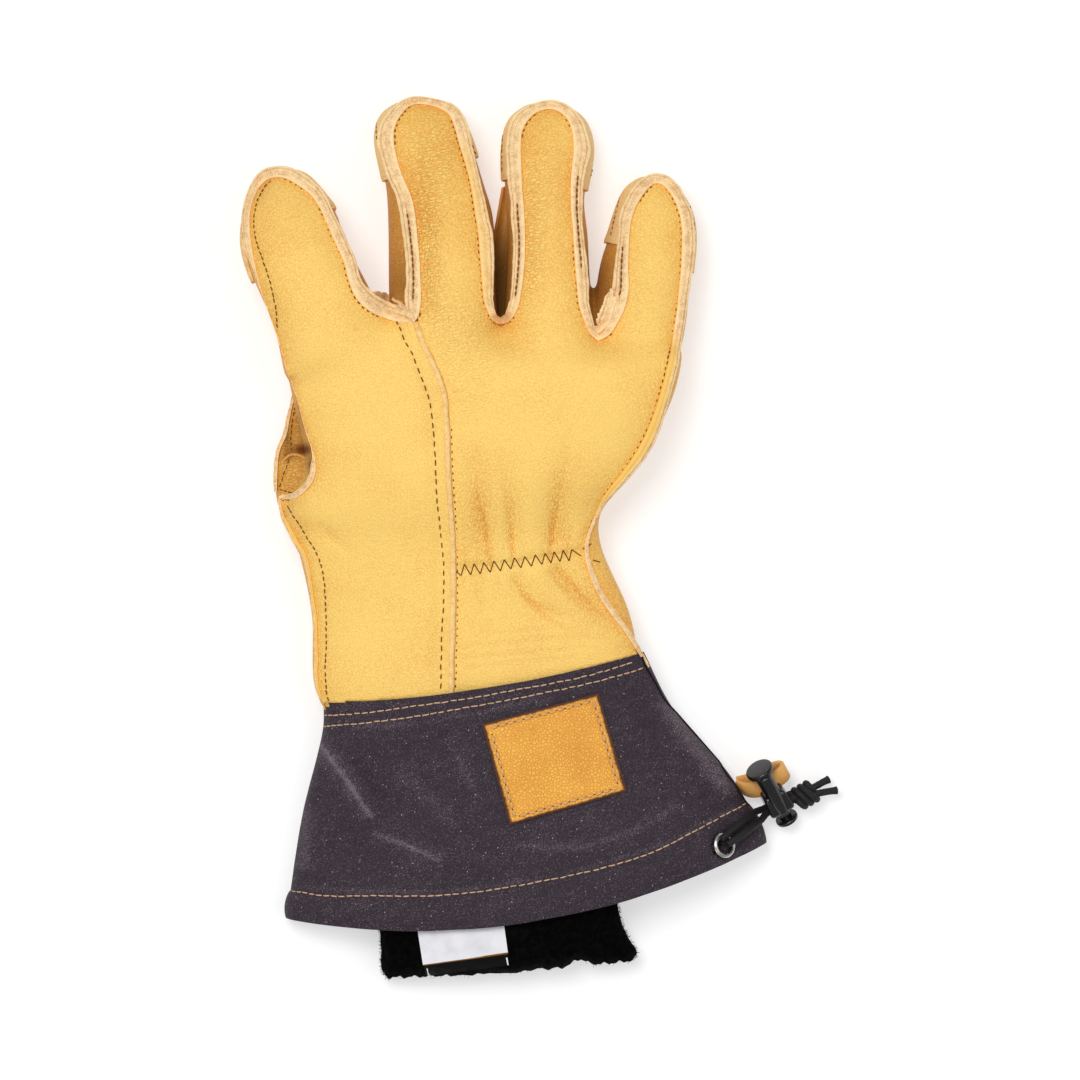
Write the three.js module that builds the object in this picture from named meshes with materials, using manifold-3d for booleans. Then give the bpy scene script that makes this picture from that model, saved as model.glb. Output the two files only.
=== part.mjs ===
// A right-hand insulated leather work glove with a canvas gauntlet cuff, lying palm down.
// Millimetres, +Z up, +Y towards the fingertips, +X towards the little finger. The glove rests
// on z = 0 with its thumb folded under the palm.
import * as THREE from 'three';
import { mergeVertices } from 'three/addons/utils/BufferGeometryUtils.js';
import Module from 'manifold-3d';

const wasm = await Module();
wasm.setup();

// Leather, canvas and fleece
const GAP = 0.3; // clearance between neighbouring pieces
const LEATHER = 2.4; // lined leather wall
const CANVAS = 2; // gauntlet wall
const FLEECE = 2.6; // liner wall
const WELT_WIDTH = 4; // raw two-ply seam edge, seen from above
const WELT_HEIGHT = 2.6; // how far a seam edge stands off the leather
const WRAP = 1.8; // leather tip wrap over each fingertip
const RIDGE_WIDTH = 1.8; // raw edge along the seam down the back
const RIDGE_HEIGHT = 1.5;
const RIDGE_END = -54; // it stops short of the cuff
const PATCH_THICKNESS = 1.6;
const LABEL_THICKNESS = 0.7;
const HEM_EXTRA = 0.6; // the folded hem stands this far off the canvas
const SEAM_LEVEL = 0.5; // back seams run this far up the side walls
const FOURCHETTE_LEVEL = 0.22; // lower seams of the finger side walls

// Drawcord hardware
const CORD = 2.6; // cord diameter
const CORD_SIDES = 8;
const LOCK_TURN = THREE.MathUtils.degToRad(30);
const LOCK_TILT = THREE.MathUtils.degToRad(32.7);
const LOCK_PLACE = [97, -102, 6]; // middle of the button's outer face
const BUTTON = { radius: 4.2, thickness: 1.6 };
const NECK_RADIUS = 2.3;
const PLUNGER = { x: 4.4, z: 8.2, top: 11.2, slotLow: 3.5, slotHigh: 9.9, slotZ: 6.2 };
const BLOCK = { x: 9.6, z: 11.4, low: 4.8, high: 15.6, middleZ: -1.2 };
const BORE = { x: 5, z: 8.8, high: 14.5 };
const CORD_LEVEL = 8.2; // height of the cord hole's middle above the button's face
const CORD_HOLE = { y: 3.4, z: 6.2 };
const BARREL = { radius: 3, z: 1.8, high: 24.4 };
const STRAP_BAR = { x: 6, low: -6.9, high: -4.9, top: 24.4 };
const CAP = { radius: 5.1, low: 24.2, high: 26.2, middleZ: -1 };
const LOOP = { thickness: 1.6, low: 15.9, width: 8 };
const EYELET = { t: 3.58, u: 0.84, outer: 4.6, hole: 3.1, flange: 0.8, sleeve: 3.7, hemHole: 4 };

// Colours of the pieces
const GOLD = 0xe8b060;
const SUEDE = 0xeac993;
const BROWN = 0x8a5a20;
const WAXED = 0x4b4147;
const ORANGE = 0xe69a48;
const BLACK = 0x141414;
const WHITE = 0xf2f0f4;
const NICKEL = 0xb8b4aa;

// Turns plain rows into rows with named columns.
function table(columns, rows) {
  const names = columns.split(' ');
  return rows.map((row) => Object.fromEntries(names.map((name, i) => [name, row[i] ?? 0])));
}

// Each limb is a row for each cross-section, from its open end to its closed end: the two side
// points seen from above, the heights of its underside, side seams and top, how much the left
// side is raised, and how far the middle bows towards the wrist.
const SECTION = 'leftX leftY rightX rightY low side top roll bow';

const INDEX = table(SECTION, [
  [-84, 58, -44, 68, 21.5, 32, 44.5],
  [-88, 76, -50, 86, 18, 31, 45],
  [-98, 100, -62.5, 108, 10, 23, 37.5],
  [-99.5, 110, -66.5, 117, 6, 18.5, 33],
  [-97.3, 121, -71.5, 124, 1.8, 14.5, 27.5],
  [-90, 130.5, -78, 131, 5.5, 12.5, 19.5],
  [-86, 132.5, -82, 132.5, 9.5, 12.5, 16],
]);

const MIDDLE = table(SECTION, [
  [-45, 62, -8, 66, 12.5, 25, 41.5],
  [-46.8, 84, -9, 86, 7, 22, 40],
  [-47.3, 113, -10.3, 116, 5.5, 18.5, 34.5],
  [-48, 126, -13.6, 128, 4, 16.5, 31],
  [-51.4, 146, -20, 147.5, 1.8, 13, 25],
  [-49, 153, -24, 153.5, 5.5, 12.5, 20.5],
  [-43.5, 156.8, -31, 156.8, 9, 12.5, 16.5],
]);

const RING = table(SECTION, [
  [-7, 60, 29, 60, 8, 20, 36.5],
  [-5.5, 84, 25.3, 84, 4, 19, 37],
  [-4.2, 110, 23.8, 110, 4, 17, 33],
  [-5, 122, 22.6, 122, 3, 15.5, 30.5],
  [-5.5, 142, 25, 142, 1.8, 13, 25.5],
  [-3, 151, 22, 151, 5.5, 12.5, 21],
  [3, 156, 15.5, 156, 9, 12.5, 16.5],
]);

const LITTLE = table(SECTION, [
  [24, 56, 54.5, 57, 7, 16, 29],
  [26, 78, 59, 76, 2, 15.5, 32.5],
  [29.5, 101, 61.3, 99, 2.4, 14, 30],
  [33, 111, 62, 108, 1.8, 13.5, 27.5],
  [35.5, 119, 61, 117, 1.8, 12.5, 24.5],
  [38.5, 125.6, 57, 124.6, 5, 12, 20.5],
  [43.5, 129.8, 51.5, 129.8, 9, 12, 15.5],
]);

const HAND = table(SECTION, [
  [-65.4, -60, 38.2, -46, 4.5, 15, 24.2],
  [-73.6, -52.5, 41.2, -39.4, 3.4, 15.5, 28.2],
  [-75, -27, 38.8, -26, 3.2, 16, 30],
  [-80.5, -1, 28.4, -1, 3, 18, 33.5, 3],
  [-84, 10, 28.8, 10, 4, 20.5, 37, 6],
  [-77, 26, 42, 26, 7.5, 23.5, 41, 9],
  [-82, 53, 54.7, 52, 10, 25.5, 42, 10],
  [-85.5, 71, 57.8, 66, 11, 25.5, 41, 10],
  [-83, 88, 57, 68.5, 14, 25.5, 38, 9],
]);

const THUMB = table(SECTION, [
  [-78, -9, -42, -12, 4, 12, 22],
  [-83.5, 3, -40, 0, 1, 11, 27],
  [-87.5, 13, -42, 13, 0, 10, 27],
  [-88.7, 24, -44, 29, 0, 9.5, 25],
  [-86.4, 35, -44, 42, 0, 9, 22],
  [-81.5, 57, -45, 67, 0, 8.5, 18.5],
  [-79.5, 71, -53, 79, 1.2, 8.5, 17],
  [-72, 82, -64, 84, 5, 8, 11],
]);

// The way from the palm's hollow into the thumb's
const THROAT = table(SECTION, [
  [-74, -6, -44, -6, 7, 15, 24],
  [-79, 6, -46, 6, 4, 14, 27],
  [-82, 18, -50, 20, 4, 14, 27],
]);

const CUFF = table(SECTION, [
  [-71, -59, 44.5, -40.5, 0.6, 13, 31.5, 0, 3.5],
  [-71.8, -70, 54.5, -60, 0, 10, 31.5, 0, 5],
  [-78.6, -98, 75, -84, 0, 7, 31.5, 0, 9.5],
  [-81.8, -116, 83, -97, 0, 6.5, 31, 0, 12],
  [-84.8, -137, 89, -109.5, 0, 6, 30.5, 0, 14],
]);
const HEM_START = 3.3; // the hem begins this many rows down the cuff
const CUFF_SHAPE = { sides: 20, power: 0.92 };

const LINER = table(SECTION, [
  [-69, -40, 34, -34, 8, 15.2, 22.2, 0, 0],
  [-60, -82, 41, -74, 7, 14, 22.2, 0, 3],
  [-52, -130, 47, -122, 3, 11, 26, 0, 5],
  [-50.5, -148, 44, -140, 2.6, 9.5, 24, 0, 4.5],
  [-50.5, -158.6, 42, -151.4, 2.6, 8.5, 21.5, 0, 1.8],
]);

// The back of each finger is a tongue of leather between two seams: side points from above.
const TONGUE = 'leftX leftY rightX rightY';

const INDEX_TONGUE = table(TONGUE, [
  [-84, 66, -44, 74],
  [-90.5, 90, -59.5, 91],
  [-95.5, 103, -65, 104],
  [-97, 111, -69, 113.5],
  [-94.5, 121, -74, 121.5],
  [-87, 129, -83, 128.5],
]);

const MIDDLE_TONGUE = table(TONGUE, [
  [-36, 72, -9, 74],
  [-36, 93, -13.6, 93],
  [-37, 108, -14.8, 109],
  [-39.5, 123, -17, 124],
  [-43.4, 133, -19, 133],
  [-45.3, 146, -22.8, 145.5],
  [-39, 153.5, -31, 153.5],
]);

const RING_TONGUE = table(TONGUE, [
  [-5, 72, 24, 72],
  [0, 88, 20.5, 90],
  [1.5, 110, 18.9, 110],
  [0.2, 133, 18.5, 133],
  [0.2, 146, 18.6, 145.5],
  [6.5, 152.5, 13, 152.5],
]);

const LITTLE_TONGUE = table(TONGUE, [
  [32, 66, 55.5, 70],
  [38.3, 88, 57, 88],
  [39.3, 111, 57.6, 111],
  [42.3, 120, 55, 120],
  [46, 125, 52, 125],
]);

// The back of the hand down to the cuff, between its left and right seams
const HAND_TONGUE = table(TONGUE, [
  [-70, -64, 45, -64],
  [-70.4, -38, 42, -40],
  [-71.8, -12, 24.8, -12],
  [-77, 1.5, 23.6, 0],
  [-79, 10, 27.5, 10],
  [-76, 20, 34, 20.5],
  [-74, 31, 41, 31],
  [-77.5, 41, 46.3, 40.5],
  [-83.5, 66, 54.5, 69],
  [-84, 76, 55, 71.5],
]);

// The seam down the back, from the crotch beside the index finger to the cuff
const BACK_SEAM = table('x y', [
  [-43.5, 79],
  [-36.5, 75.5],
  [-32.6, 68],
  [-29, 59],
  [-26.6, 48],
  [-26, 34],
  [-25, 17],
  [-24, -4],
  [-24, -24],
  [-24.7, -70],
]);

// Each fingertip wrap begins at this line.
const WRAP_LINES = {
  index: table('x y', [[-97, 91], [-64, 122]]),
  middle: table('x y', [[-55, 127.5], [-12, 138.5]]),
  ring: table('x y', [[-12, 130.3], [28, 125.2]]),
  little: table('x y', [[26, 108.8], [68, 94.2]]),
};

// Where the finger side walls lie, seen from above
const FOURCHETTES = {
  index_middle: table('x y', [
    [-70, 83], [-36, 80], [-36, 122], [-44, 124], [-60, 112], [-76, 112],
  ]),
  middle_ring: table('x y', [[-24, 74], [10, 72], [8, 123], [-27, 126]]),
  ring_little: table('x y', [[12, 67], [42, 62], [46, 92], [40, 100], [10, 119]]),
};

// Each seam edge's share of the band along the seams, seen from above
const WELT_SHARES = {
  index: table('x y', [
    [-130, 64], [-130, 160], [-60, 160], [-51, 100], [-43.7, 84], [-43.7, 64],
  ]),
  middle: table('x y', [
    [-43.4, 60], [-43.4, 84], [-50.7, 100], [-59.7, 170], [-8, 170], [-6, 100], [-7.5, 82], [-7.5, 60],
  ]),
  ring: table('x y', [
    [-7.2, 60], [-7.2, 82], [-5.7, 100], [-7.7, 170], [28, 170], [28, 100], [29.2, 74], [29.2, 60],
  ]),
  little: table('x y', [
    [29.5, 60], [29.5, 74], [28.3, 100], [28.3, 170], [90, 170], [90, 60],
  ]),
  thumb_side: table('x y', [[-130, -58], [-130, 55], [-50, 55], [-50, -58]]),
  hand_side: table('x y', [[0, -46.5], [0, 55], [90, 55], [90, -32]]),
};

const PATCH = table('x y', [[-13.9, -67.1], [28.3, -56.3], [38.3, -90.9], [-4.1, -102.4]]);
const LABEL = table('x y', [[-36.5, -138], [-35.1, -156.5], [-4.5, -151.5], [-5.9, -135]]);

// Signed power for superellipse outlines
const rounded = (value, power) => Math.sign(value) * Math.abs(value) ** power;
const mix = (a, b, t) => a + (b - a) * t;

// A closed BufferGeometry as a solid that can be joined and cut
function toSolid(geometry) {
  const bare = geometry.index ? geometry.clone() : geometry;
  bare.deleteAttribute('normal');
  bare.deleteAttribute('uv');
  const merged = mergeVertices(bare, 1e-4);
  const place = merged.attributes.position;
  const corners = merged.index.array;
  const [a, b, c] = [new THREE.Vector3(), new THREE.Vector3(), new THREE.Vector3()];
  let volume = 0;
  const faces = [];
  for (let i = 0; i < corners.length; i += 3) {
    const face = [corners[i], corners[i + 1], corners[i + 2]];
    if (face[0] === face[1] || face[1] === face[2] || face[2] === face[0]) continue;
    a.fromBufferAttribute(place, face[0]);
    b.fromBufferAttribute(place, face[1]);
    c.fromBufferAttribute(place, face[2]);
    volume += a.dot(b.cross(c));
    faces.push(face);
  }
  const facingOut = volume < 0 ? faces.map((face) => [face[0], face[2], face[1]]) : faces;
  return new wasm.Manifold(new wasm.Mesh({
    numProp: 3,
    vertProperties: new Float32Array(place.array),
    triVerts: new Uint32Array(facingOut.flat()),
  }));
}

// A skin through rings of points, closed at both ends
function skin(rings) {
  const sides = rings[0].length;
  const points = rings.flat();
  const faces = [];
  for (let r = 0; r + 1 < rings.length; r += 1) {
    for (let i = 0; i < sides; i += 1) {
      const a = r * sides + i;
      const b = r * sides + ((i + 1) % sides);
      faces.push(a, b, b + sides, a, b + sides, a + sides);
    }
  }
  for (const [ring, flip] of [[0, true], [rings.length - 1, false]]) {
    const centre = new THREE.Vector3();
    rings[ring].forEach((point) => centre.addScaledVector(point, 1 / sides));
    const hub = points.push(centre) - 1;
    for (let i = 0; i < sides; i += 1) {
      const a = ring * sides + i;
      const b = ring * sides + ((i + 1) % sides);
      faces.push(...(flip ? [hub, b, a] : [hub, a, b]));
    }
  }
  return new THREE.BufferGeometry().setFromPoints(points).setIndex(faces);
}

// The frame of one cross-section: its middle, half width and directions seen from above
function sectionFrame(row) {
  const left = new THREE.Vector2(row.leftX, row.leftY);
  const right = new THREE.Vector2(row.rightX, row.rightY);
  const across = right.clone().sub(left).normalize();
  return {
    middle: left.clone().add(right).multiplyScalar(0.5),
    half: left.distanceTo(right) / 2,
    across,
    along: new THREE.Vector2(-across.y, across.x),
  };
}

// One row between two of a table's rows
function rowAt(rows, t) {
  const i = Math.min(Math.floor(t), rows.length - 2);
  const entries = Object.keys(rows[0]).map((name) => [name, mix(rows[i][name], rows[i + 1][name], t - i)]);
  return Object.fromEntries(entries);
}

// A point of a section: u runs from -1 at its left side to 1 at its right
function sectionPoint(row, frame, u, z, shift = 0) {
  const back = shift - row.bow * (1 - u * u);
  return new THREE.Vector3(
    frame.middle.x + frame.across.x * frame.half * u + frame.along.x * back,
    frame.middle.y + frame.across.y * frame.half * u + frame.along.y * back,
    z - row.roll * u,
  );
}

// A limb's solid with its surface moved outwards by grow. Its closed end moves too, and its
// open end runs on by reach. Its underside is flattened where it would pass through the floor.
function limb(rows, grow, options = {}) {
  const { sides = 8, power = 0.85, reach = 0, endReach = grow, floor = -grow } = options;
  const onward = Math.sign(rows.at(-1).leftY - rows[0].leftY);
  const kept = rows.filter((row) => {
    const frame = sectionFrame(row);
    return frame.half + grow > 1.5 && (row.top - row.low) / 2 + grow > 1.5;
  });
  const rings = kept.map((row, index) => {
    const frame = sectionFrame(row);
    const shift = onward * (index === 0 ? -reach : index === kept.length - 1 ? endReach : 0);
    const wide = { ...frame, half: frame.half + grow };
    const ring = [];
    for (let i = 0; i < sides; i += 1) {
      const angle = (2 * Math.PI * i) / sides;
      const u = rounded(Math.cos(angle), power);
      const v = rounded(Math.sin(angle), power);
      const rise = v > 0 ? row.top - row.side + grow : row.side - row.low + grow;
      const point = sectionPoint(row, wide, u, row.side + rise * v, shift);
      point.z = Math.max(point.z, floor);
      ring.push(point);
    }
    return ring;
  });
  return toSolid(skin(rings));
}

// Everything above a limb's seams, at the given share of its height
function above(rows, level, shift = 0) {
  const onward = Math.sign(rows.at(-1).leftY - rows[0].leftY);
  const rings = rows.map((row, index) => {
    const frame = sectionFrame(row);
    const wide = { ...frame, half: frame.half + 14 };
    const spread = wide.half / frame.half;
    const reach = onward * (index === 0 ? -20 : index === rows.length - 1 ? 20 : 0);
    const z = mix(row.low, row.side, level / SEAM_LEVEL) + shift;
    const tilted = { ...row, roll: row.roll * spread, bow: row.bow };
    return [
      sectionPoint(tilted, wide, -1, z, reach),
      sectionPoint(tilted, wide, 1, z, reach),
      sectionPoint(tilted, wide, 1, z + 60, reach),
      sectionPoint(tilted, wide, -1, z + 60, reach),
    ];
  });
  return toSolid(skin(rings));
}

// An upright prism over an outline seen from above
function prism(points, low = -30, high = 90) {
  const shape = new THREE.Shape(points.map((point) => new THREE.Vector2(point.x, point.y)));
  const geometry = new THREE.ExtrudeGeometry(shape, { depth: high - low, bevelEnabled: false });
  geometry.translate(0, 0, low);
  return toSolid(geometry);
}

// The outline of a tongue between its seams, widened by grow
function tonguePrism(rows, grow) {
  const sides = rows.map((row, index) => {
    const frame = sectionFrame(row);
    const end = index === rows.length - 1 ? grow : 0;
    const side = (sign) => frame.middle.clone()
      .addScaledVector(frame.across, sign * (frame.half + grow))
      .addScaledVector(frame.along, end);
    return [side(-1), side(1)];
  });
  return prism([...sides.map((pair) => pair[0]), ...sides.map((pair) => pair[1]).reverse()]);
}

// A polygon with each corner moved away from its middle by grow
function widened(points, grow) {
  const middle = new THREE.Vector2();
  points.forEach((point) => middle.addScaledVector(point, 1 / points.length));
  return points.map((point) => {
    const arm = new THREE.Vector2(point.x, point.y).sub(middle);
    return arm.setLength(arm.length() + grow * 1.4).add(middle);
  });
}

const join = (solids) => solids.reduce((whole, solid) => whole.add(solid));

// The largest body of a cut piece, without the crumbs of the cut
function mainBody(solid) {
  const bodies = solid.decompose();
  return bodies.reduce((best, body) => (body.volume() > best.volume() ? body : best));
}

const FINGERS = { index: INDEX, middle: MIDDLE, ring: RING, little: LITTLE };
const TONGUES = {
  index: INDEX_TONGUE, middle: MIDDLE_TONGUE, ring: RING_TONGUE, little: LITTLE_TONGUE,
};

// The hand with its four fingers, its surface moved outwards by grow
function handSolid(grow, reach = 0) {
  const limbs = Object.values(FINGERS).map((rows) => limb(rows, grow, { reach }));
  return join([limb(HAND, grow, { sides: 16, power: 0.75, reach }), ...limbs]);
}

// The region of the back, between the seams, widened by grow
function backRegion(grow) {
  const fingers = Object.keys(FINGERS).map(
    (name) => above(FINGERS[name], SEAM_LEVEL).intersect(tonguePrism(TONGUES[name], grow)),
  );
  const hand = above(HAND, SEAM_LEVEL).intersect(tonguePrism(HAND_TONGUE, grow));
  return join([hand, ...fingers]);
}

// The half plane left of the back seam, its edge moved to the right by shift
function seamSide(shift) {
  const seam = BACK_SEAM.map((point) => ({ x: point.x + shift, y: point.y }));
  const far = table('x y', [[-130, -80], [-130, 150], [-58 + shift, 150], [-54 + shift, 100]]);
  return prism([...seam, ...far]);
}

// The canvas tube of the cuff between two of its rows
function cuffTube(from, to, grow, wall, floor) {
  const rows = [rowAt(CUFF, from)];
  for (let i = Math.floor(from) + 1; i < to; i += 1) rows.push(CUFF[i]);
  rows.push(rowAt(CUFF, to));
  const outside = limb(rows, grow, { ...CUFF_SHAPE, endReach: 0, floor });
  const inside = limb(rows, grow - wall, { ...CUFF_SHAPE, reach: 5, endReach: 5 });
  return { rows, outside, inside, tube: outside.subtract(inside) };
}

const group = new THREE.Group();

function material(color, roughness, metalness = 0) {
  return new THREE.MeshStandardMaterial({ color, roughness, metalness });
}

function addMesh(name, solid, finish, parent = group) {
  const body = solid.getMesh();
  const geometry = new THREE.BufferGeometry();
  geometry.setAttribute('position', new THREE.BufferAttribute(new Float32Array(body.vertProperties), 3));
  geometry.setIndex(new THREE.BufferAttribute(new Uint32Array(body.triVerts), 1));
  geometry.computeVertexNormals();
  const mesh = new THREE.Mesh(geometry, finish);
  mesh.name = name;
  parent.add(mesh);
  return mesh;
}

function makeLeather() {
  const hollow = handSolid(-LEATHER, 6);
  const throat = limb(THROAT, 0);
  const shell = handSolid(0).subtract(hollow);
  const back = backRegion(0);
  const top = shell.intersect(back);
  addMesh('index_panel', mainBody(top.intersect(seamSide(-GAP / 2))), material(GOLD, 0.7));
  addMesh('back_panel', mainBody(top.subtract(seamSide(GAP / 2))), material(GOLD, 0.7));

  let under = shell.subtract(backRegion(GAP)).subtract(throat);
  for (const [name, outline] of Object.entries(FOURCHETTES)) {
    const sides = name.split('_').map((finger) => FINGERS[finger]);
    const region = (grow) => join(sides.map((rows) => above(rows, FOURCHETTE_LEVEL, -grow)))
      .intersect(prism(widened(outline, grow)));
    addMesh(`fourchette_${name}`, mainBody(under.intersect(region(0))), material(BROWN, 0.8));
    under = under.subtract(region(GAP));
  }
  addMesh('palm_panel', mainBody(under), material(GOLD, 0.75));
}

function makeThumb() {
  const outside = limb(THUMB, 0).subtract(handSolid(GAP, 3));
  const hollow = limb(THUMB, -LEATHER, { reach: 4 }).subtract(handSolid(GAP + LEATHER));
  addMesh('thumb', mainBody(outside.subtract(hollow).subtract(limb(THROAT, 0))), material(GOLD, 0.75));
}

// The raw two-ply seam edges that stand up round the back of each finger
function makeWelts() {
  const standing = handSolid(WELT_HEIGHT).subtract(handSolid(GAP, 3)).subtract(backRegion(GAP));
  const band = standing.intersect(backRegion(GAP + WELT_WIDTH));
  for (const [name, outline] of Object.entries(WELT_SHARES)) {
    addMesh(`welt_${name}`, mainBody(band.intersect(prism(outline))), material(SUEDE, 0.9));
  }

  const left = [...BACK_SEAM.slice(1, -1), { x: BACK_SEAM.at(-1).x, y: RIDGE_END }];
  const right = left.map((point) => ({ x: point.x + RIDGE_WIDTH, y: point.y })).reverse();
  const ridge = handSolid(RIDGE_HEIGHT).subtract(handSolid(GAP, 3)).subtract(band)
    .intersect(prism([...left, ...right]))
    .intersect(above(HAND, SEAM_LEVEL));
  addMesh('back_seam_edge', mainBody(ridge), material(SUEDE, 0.9));
}

function makeTipWraps() {
  for (const [name, line] of Object.entries(WRAP_LINES)) {
    const rows = FINGERS[name];
    const beyond = prism([line[0], line[1], { x: line[1].x + 5, y: 190 }, { x: line[0].x - 15, y: 190 }]);
    const cap = limb(rows, WRAP, { floor: 0 }).subtract(handSolid(GAP, 3));
    const bare = backRegion(WELT_WIDTH + 2 * GAP);
    addMesh(`tip_wrap_${name}`, mainBody(cap.intersect(beyond).subtract(bare)), material(GOLD, 0.75));
  }
}

function makeCuff() {
  const end = CUFF.length - 1;
  const body = cuffTube(0, HEM_START - 0.04, 0, CANVAS);
  const hem = cuffTube(HEM_START, end, HEM_EXTRA, CANVAS + HEM_EXTRA * 2, 0);
  const hole = new THREE.CylinderGeometry(EYELET.hemHole, EYELET.hemHole, 14, 16);
  hole.rotateX(Math.PI / 2);
  hole.applyMatrix4(eyeletPlace());
  const front = body.tube.intersect(above(body.rows, SEAM_LEVEL));
  const rear = body.tube.subtract(above(body.rows, SEAM_LEVEL, -GAP));
  addMesh('cuff_front', mainBody(front), material(WAXED, 0.85));
  addMesh('cuff_rear', mainBody(rear), material(WAXED, 0.85));
  addMesh('cuff_hem', mainBody(hem.tube.subtract(toSolid(hole))), material(WAXED, 0.85));

  const patch = limb(CUFF, GAP + PATCH_THICKNESS, CUFF_SHAPE).subtract(limb(CUFF, GAP, CUFF_SHAPE));
  addMesh('cuff_patch', mainBody(patch.intersect(prism(PATCH, 15))), material(ORANGE, 0.65));
}

function makeLiner() {
  const shape = { sides: 14, power: 0.75 };
  const outside = limb(LINER, 0, { ...shape, endReach: 0 });
  const inside = limb(LINER, -FLEECE, { ...shape, reach: 5, endReach: 5 });
  addMesh('liner', mainBody(outside.subtract(inside)), material(BLACK, 0.95));
  const label = limb(LINER, GAP + LABEL_THICKNESS, { ...shape, endReach: 0 })
    .subtract(limb(LINER, GAP, shape))
    .intersect(prism(LABEL, 11));
  addMesh('care_label', mainBody(label), material(WHITE, 0.8));
}

// A point on the front of the hem: t rows down the cuff and u across it
function hemPoint(t, u) {
  const row = rowAt(CUFF, t);
  const rise = (1 - Math.abs(u) ** (2 / CUFF_SHAPE.power)) ** (CUFF_SHAPE.power / 2);
  return sectionPoint(row, sectionFrame(row), u, row.side + (row.top - row.side + HEM_EXTRA) * rise);
}

// The eyelet sits on the front of the hem near the side seam, square to the canvas.
function eyeletPlace() {
  const { t, u } = EYELET;
  const along = hemPoint(t - 0.1, u).sub(hemPoint(t + 0.1, u));
  const across = hemPoint(t, u + 0.05).sub(hemPoint(t, u - 0.05));
  const normal = across.cross(along).normalize();
  const turn = new THREE.Quaternion().setFromUnitVectors(new THREE.Vector3(0, 0, 1), normal);
  const place = hemPoint(t, u).addScaledVector(normal, GAP);
  return new THREE.Matrix4().compose(place, turn, new THREE.Vector3(1, 1, 1));
}

function makeEyelet() {
  const { outer, hole, flange, sleeve } = EYELET;
  const profile = [[hole, -2.6], [sleeve, -2.6], [sleeve, 0], [outer, 0], [outer, flange * 0.6],
    [mix(hole, outer, 0.5), flange], [hole, flange * 0.5], [hole, -2.6]];
  const ring = new THREE.LatheGeometry(profile.map(([r, y]) => new THREE.Vector2(r, y)), 14);
  ring.rotateX(Math.PI / 2);
  ring.applyMatrix4(eyeletPlace());
  addMesh('eyelet', toSolid(ring), material(NICKEL, 0.3, 1));
}

// A box given by its width along x and z and its lowest and highest y
function slab(x, z, low, high, middleZ) {
  const box = new THREE.BoxGeometry(x, high - low, z);
  box.translate(0, (low + high) / 2, middleZ);
  return toSolid(box);
}

function rod(radius, low, high, z, sides = 20) {
  const cylinder = new THREE.CylinderGeometry(radius, radius, high - low, sides);
  cylinder.translate(0, (low + high) / 2, z);
  return toSolid(cylinder);
}

// The cord lock, with y along its barrel from the button to the cap and z to its front
function makeLock() {
  const lock = new THREE.Group();
  lock.position.set(...LOCK_PLACE);
  lock.rotation.set(LOCK_TILT, 0, LOCK_TURN, 'ZXY');
  group.add(lock);

  const middle = BLOCK.middleZ;
  const body = join([
    slab(BLOCK.x, BLOCK.z, BLOCK.low, BLOCK.high, middle),
    rod(BARREL.radius, BLOCK.low, BARREL.high, BARREL.z),
    slab(STRAP_BAR.x, STRAP_BAR.high - STRAP_BAR.low, BLOCK.high - 1, STRAP_BAR.top,
      (STRAP_BAR.low + STRAP_BAR.high) / 2),
    rod(CAP.radius, CAP.low, CAP.high, CAP.middleZ, 24),
    slab(STRAP_BAR.x, CAP.middleZ - STRAP_BAR.low, CAP.low, CAP.high, (CAP.middleZ + STRAP_BAR.low) / 2),
  ]);
  const bore = slab(BORE.x, BORE.z, BLOCK.low - 1, BORE.high, middle);
  const [holeLow, holeHigh] = [CORD_LEVEL - CORD_HOLE.y / 2, CORD_LEVEL + CORD_HOLE.y / 2];
  const holes = slab(BLOCK.x + 2, CORD_HOLE.z, holeLow, holeHigh, middle);
  addMesh('lock_barrel', mainBody(body.subtract(bore).subtract(holes)), material(BLACK, 0.25), lock);

  const stem = slab(PLUNGER.x, PLUNGER.z, BUTTON.thickness, PLUNGER.top, middle);
  const slot = slab(PLUNGER.x + 2, PLUNGER.slotZ, PLUNGER.slotLow, PLUNGER.slotHigh, middle);
  const button = rod(BUTTON.radius, 0, BUTTON.thickness, middle, 24);
  const neck = rod(NECK_RADIUS, 0.5, PLUNGER.slotLow - 0.5, middle, 16);
  addMesh('lock_plunger', join([stem.subtract(slot), button, neck]), material(BLACK, 0.25), lock);
  makeLoop(lock);
}

// The leather loop: a strip from the cuff's side seam round the strap bar and back
function makeLoop(lock) {
  const route = table('x z', [
    [-9, -10.2], [-7.2, -6.4], [-4.4, -3.8], [0, -3.1], [4, -3.2], [7.2, -4.1],
    [8.2, -6.2], [6.4, -8.2], [2, -8.9], [-3, -9.6], [-8.6, -12],
  ]);
  const curve = new THREE.CatmullRomCurve3(route.map(({ x, z }) => new THREE.Vector3(x, z, 0)));
  const steps = 18;
  const near = [];
  const far = [];
  for (let i = 0; i <= steps; i += 1) {
    const point = curve.getPointAt(i / steps);
    const way = curve.getTangentAt(i / steps);
    const side = new THREE.Vector2(-way.y, way.x).multiplyScalar(LOOP.thickness / 2);
    near.push(new THREE.Vector2(point.x + side.x, point.y + side.y));
    far.push(new THREE.Vector2(point.x - side.x, point.y - side.y));
  }
  const strip = new THREE.ExtrudeGeometry(new THREE.Shape([...near, ...far.reverse()]), {
    depth: LOOP.width, bevelEnabled: false,
  });
  strip.rotateX(Math.PI / 2);
  strip.translate(0, LOOP.low + LOOP.width, 0);
  addMesh('pull_loop', toSolid(strip), material(ORANGE, 0.7), lock);
}

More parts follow.
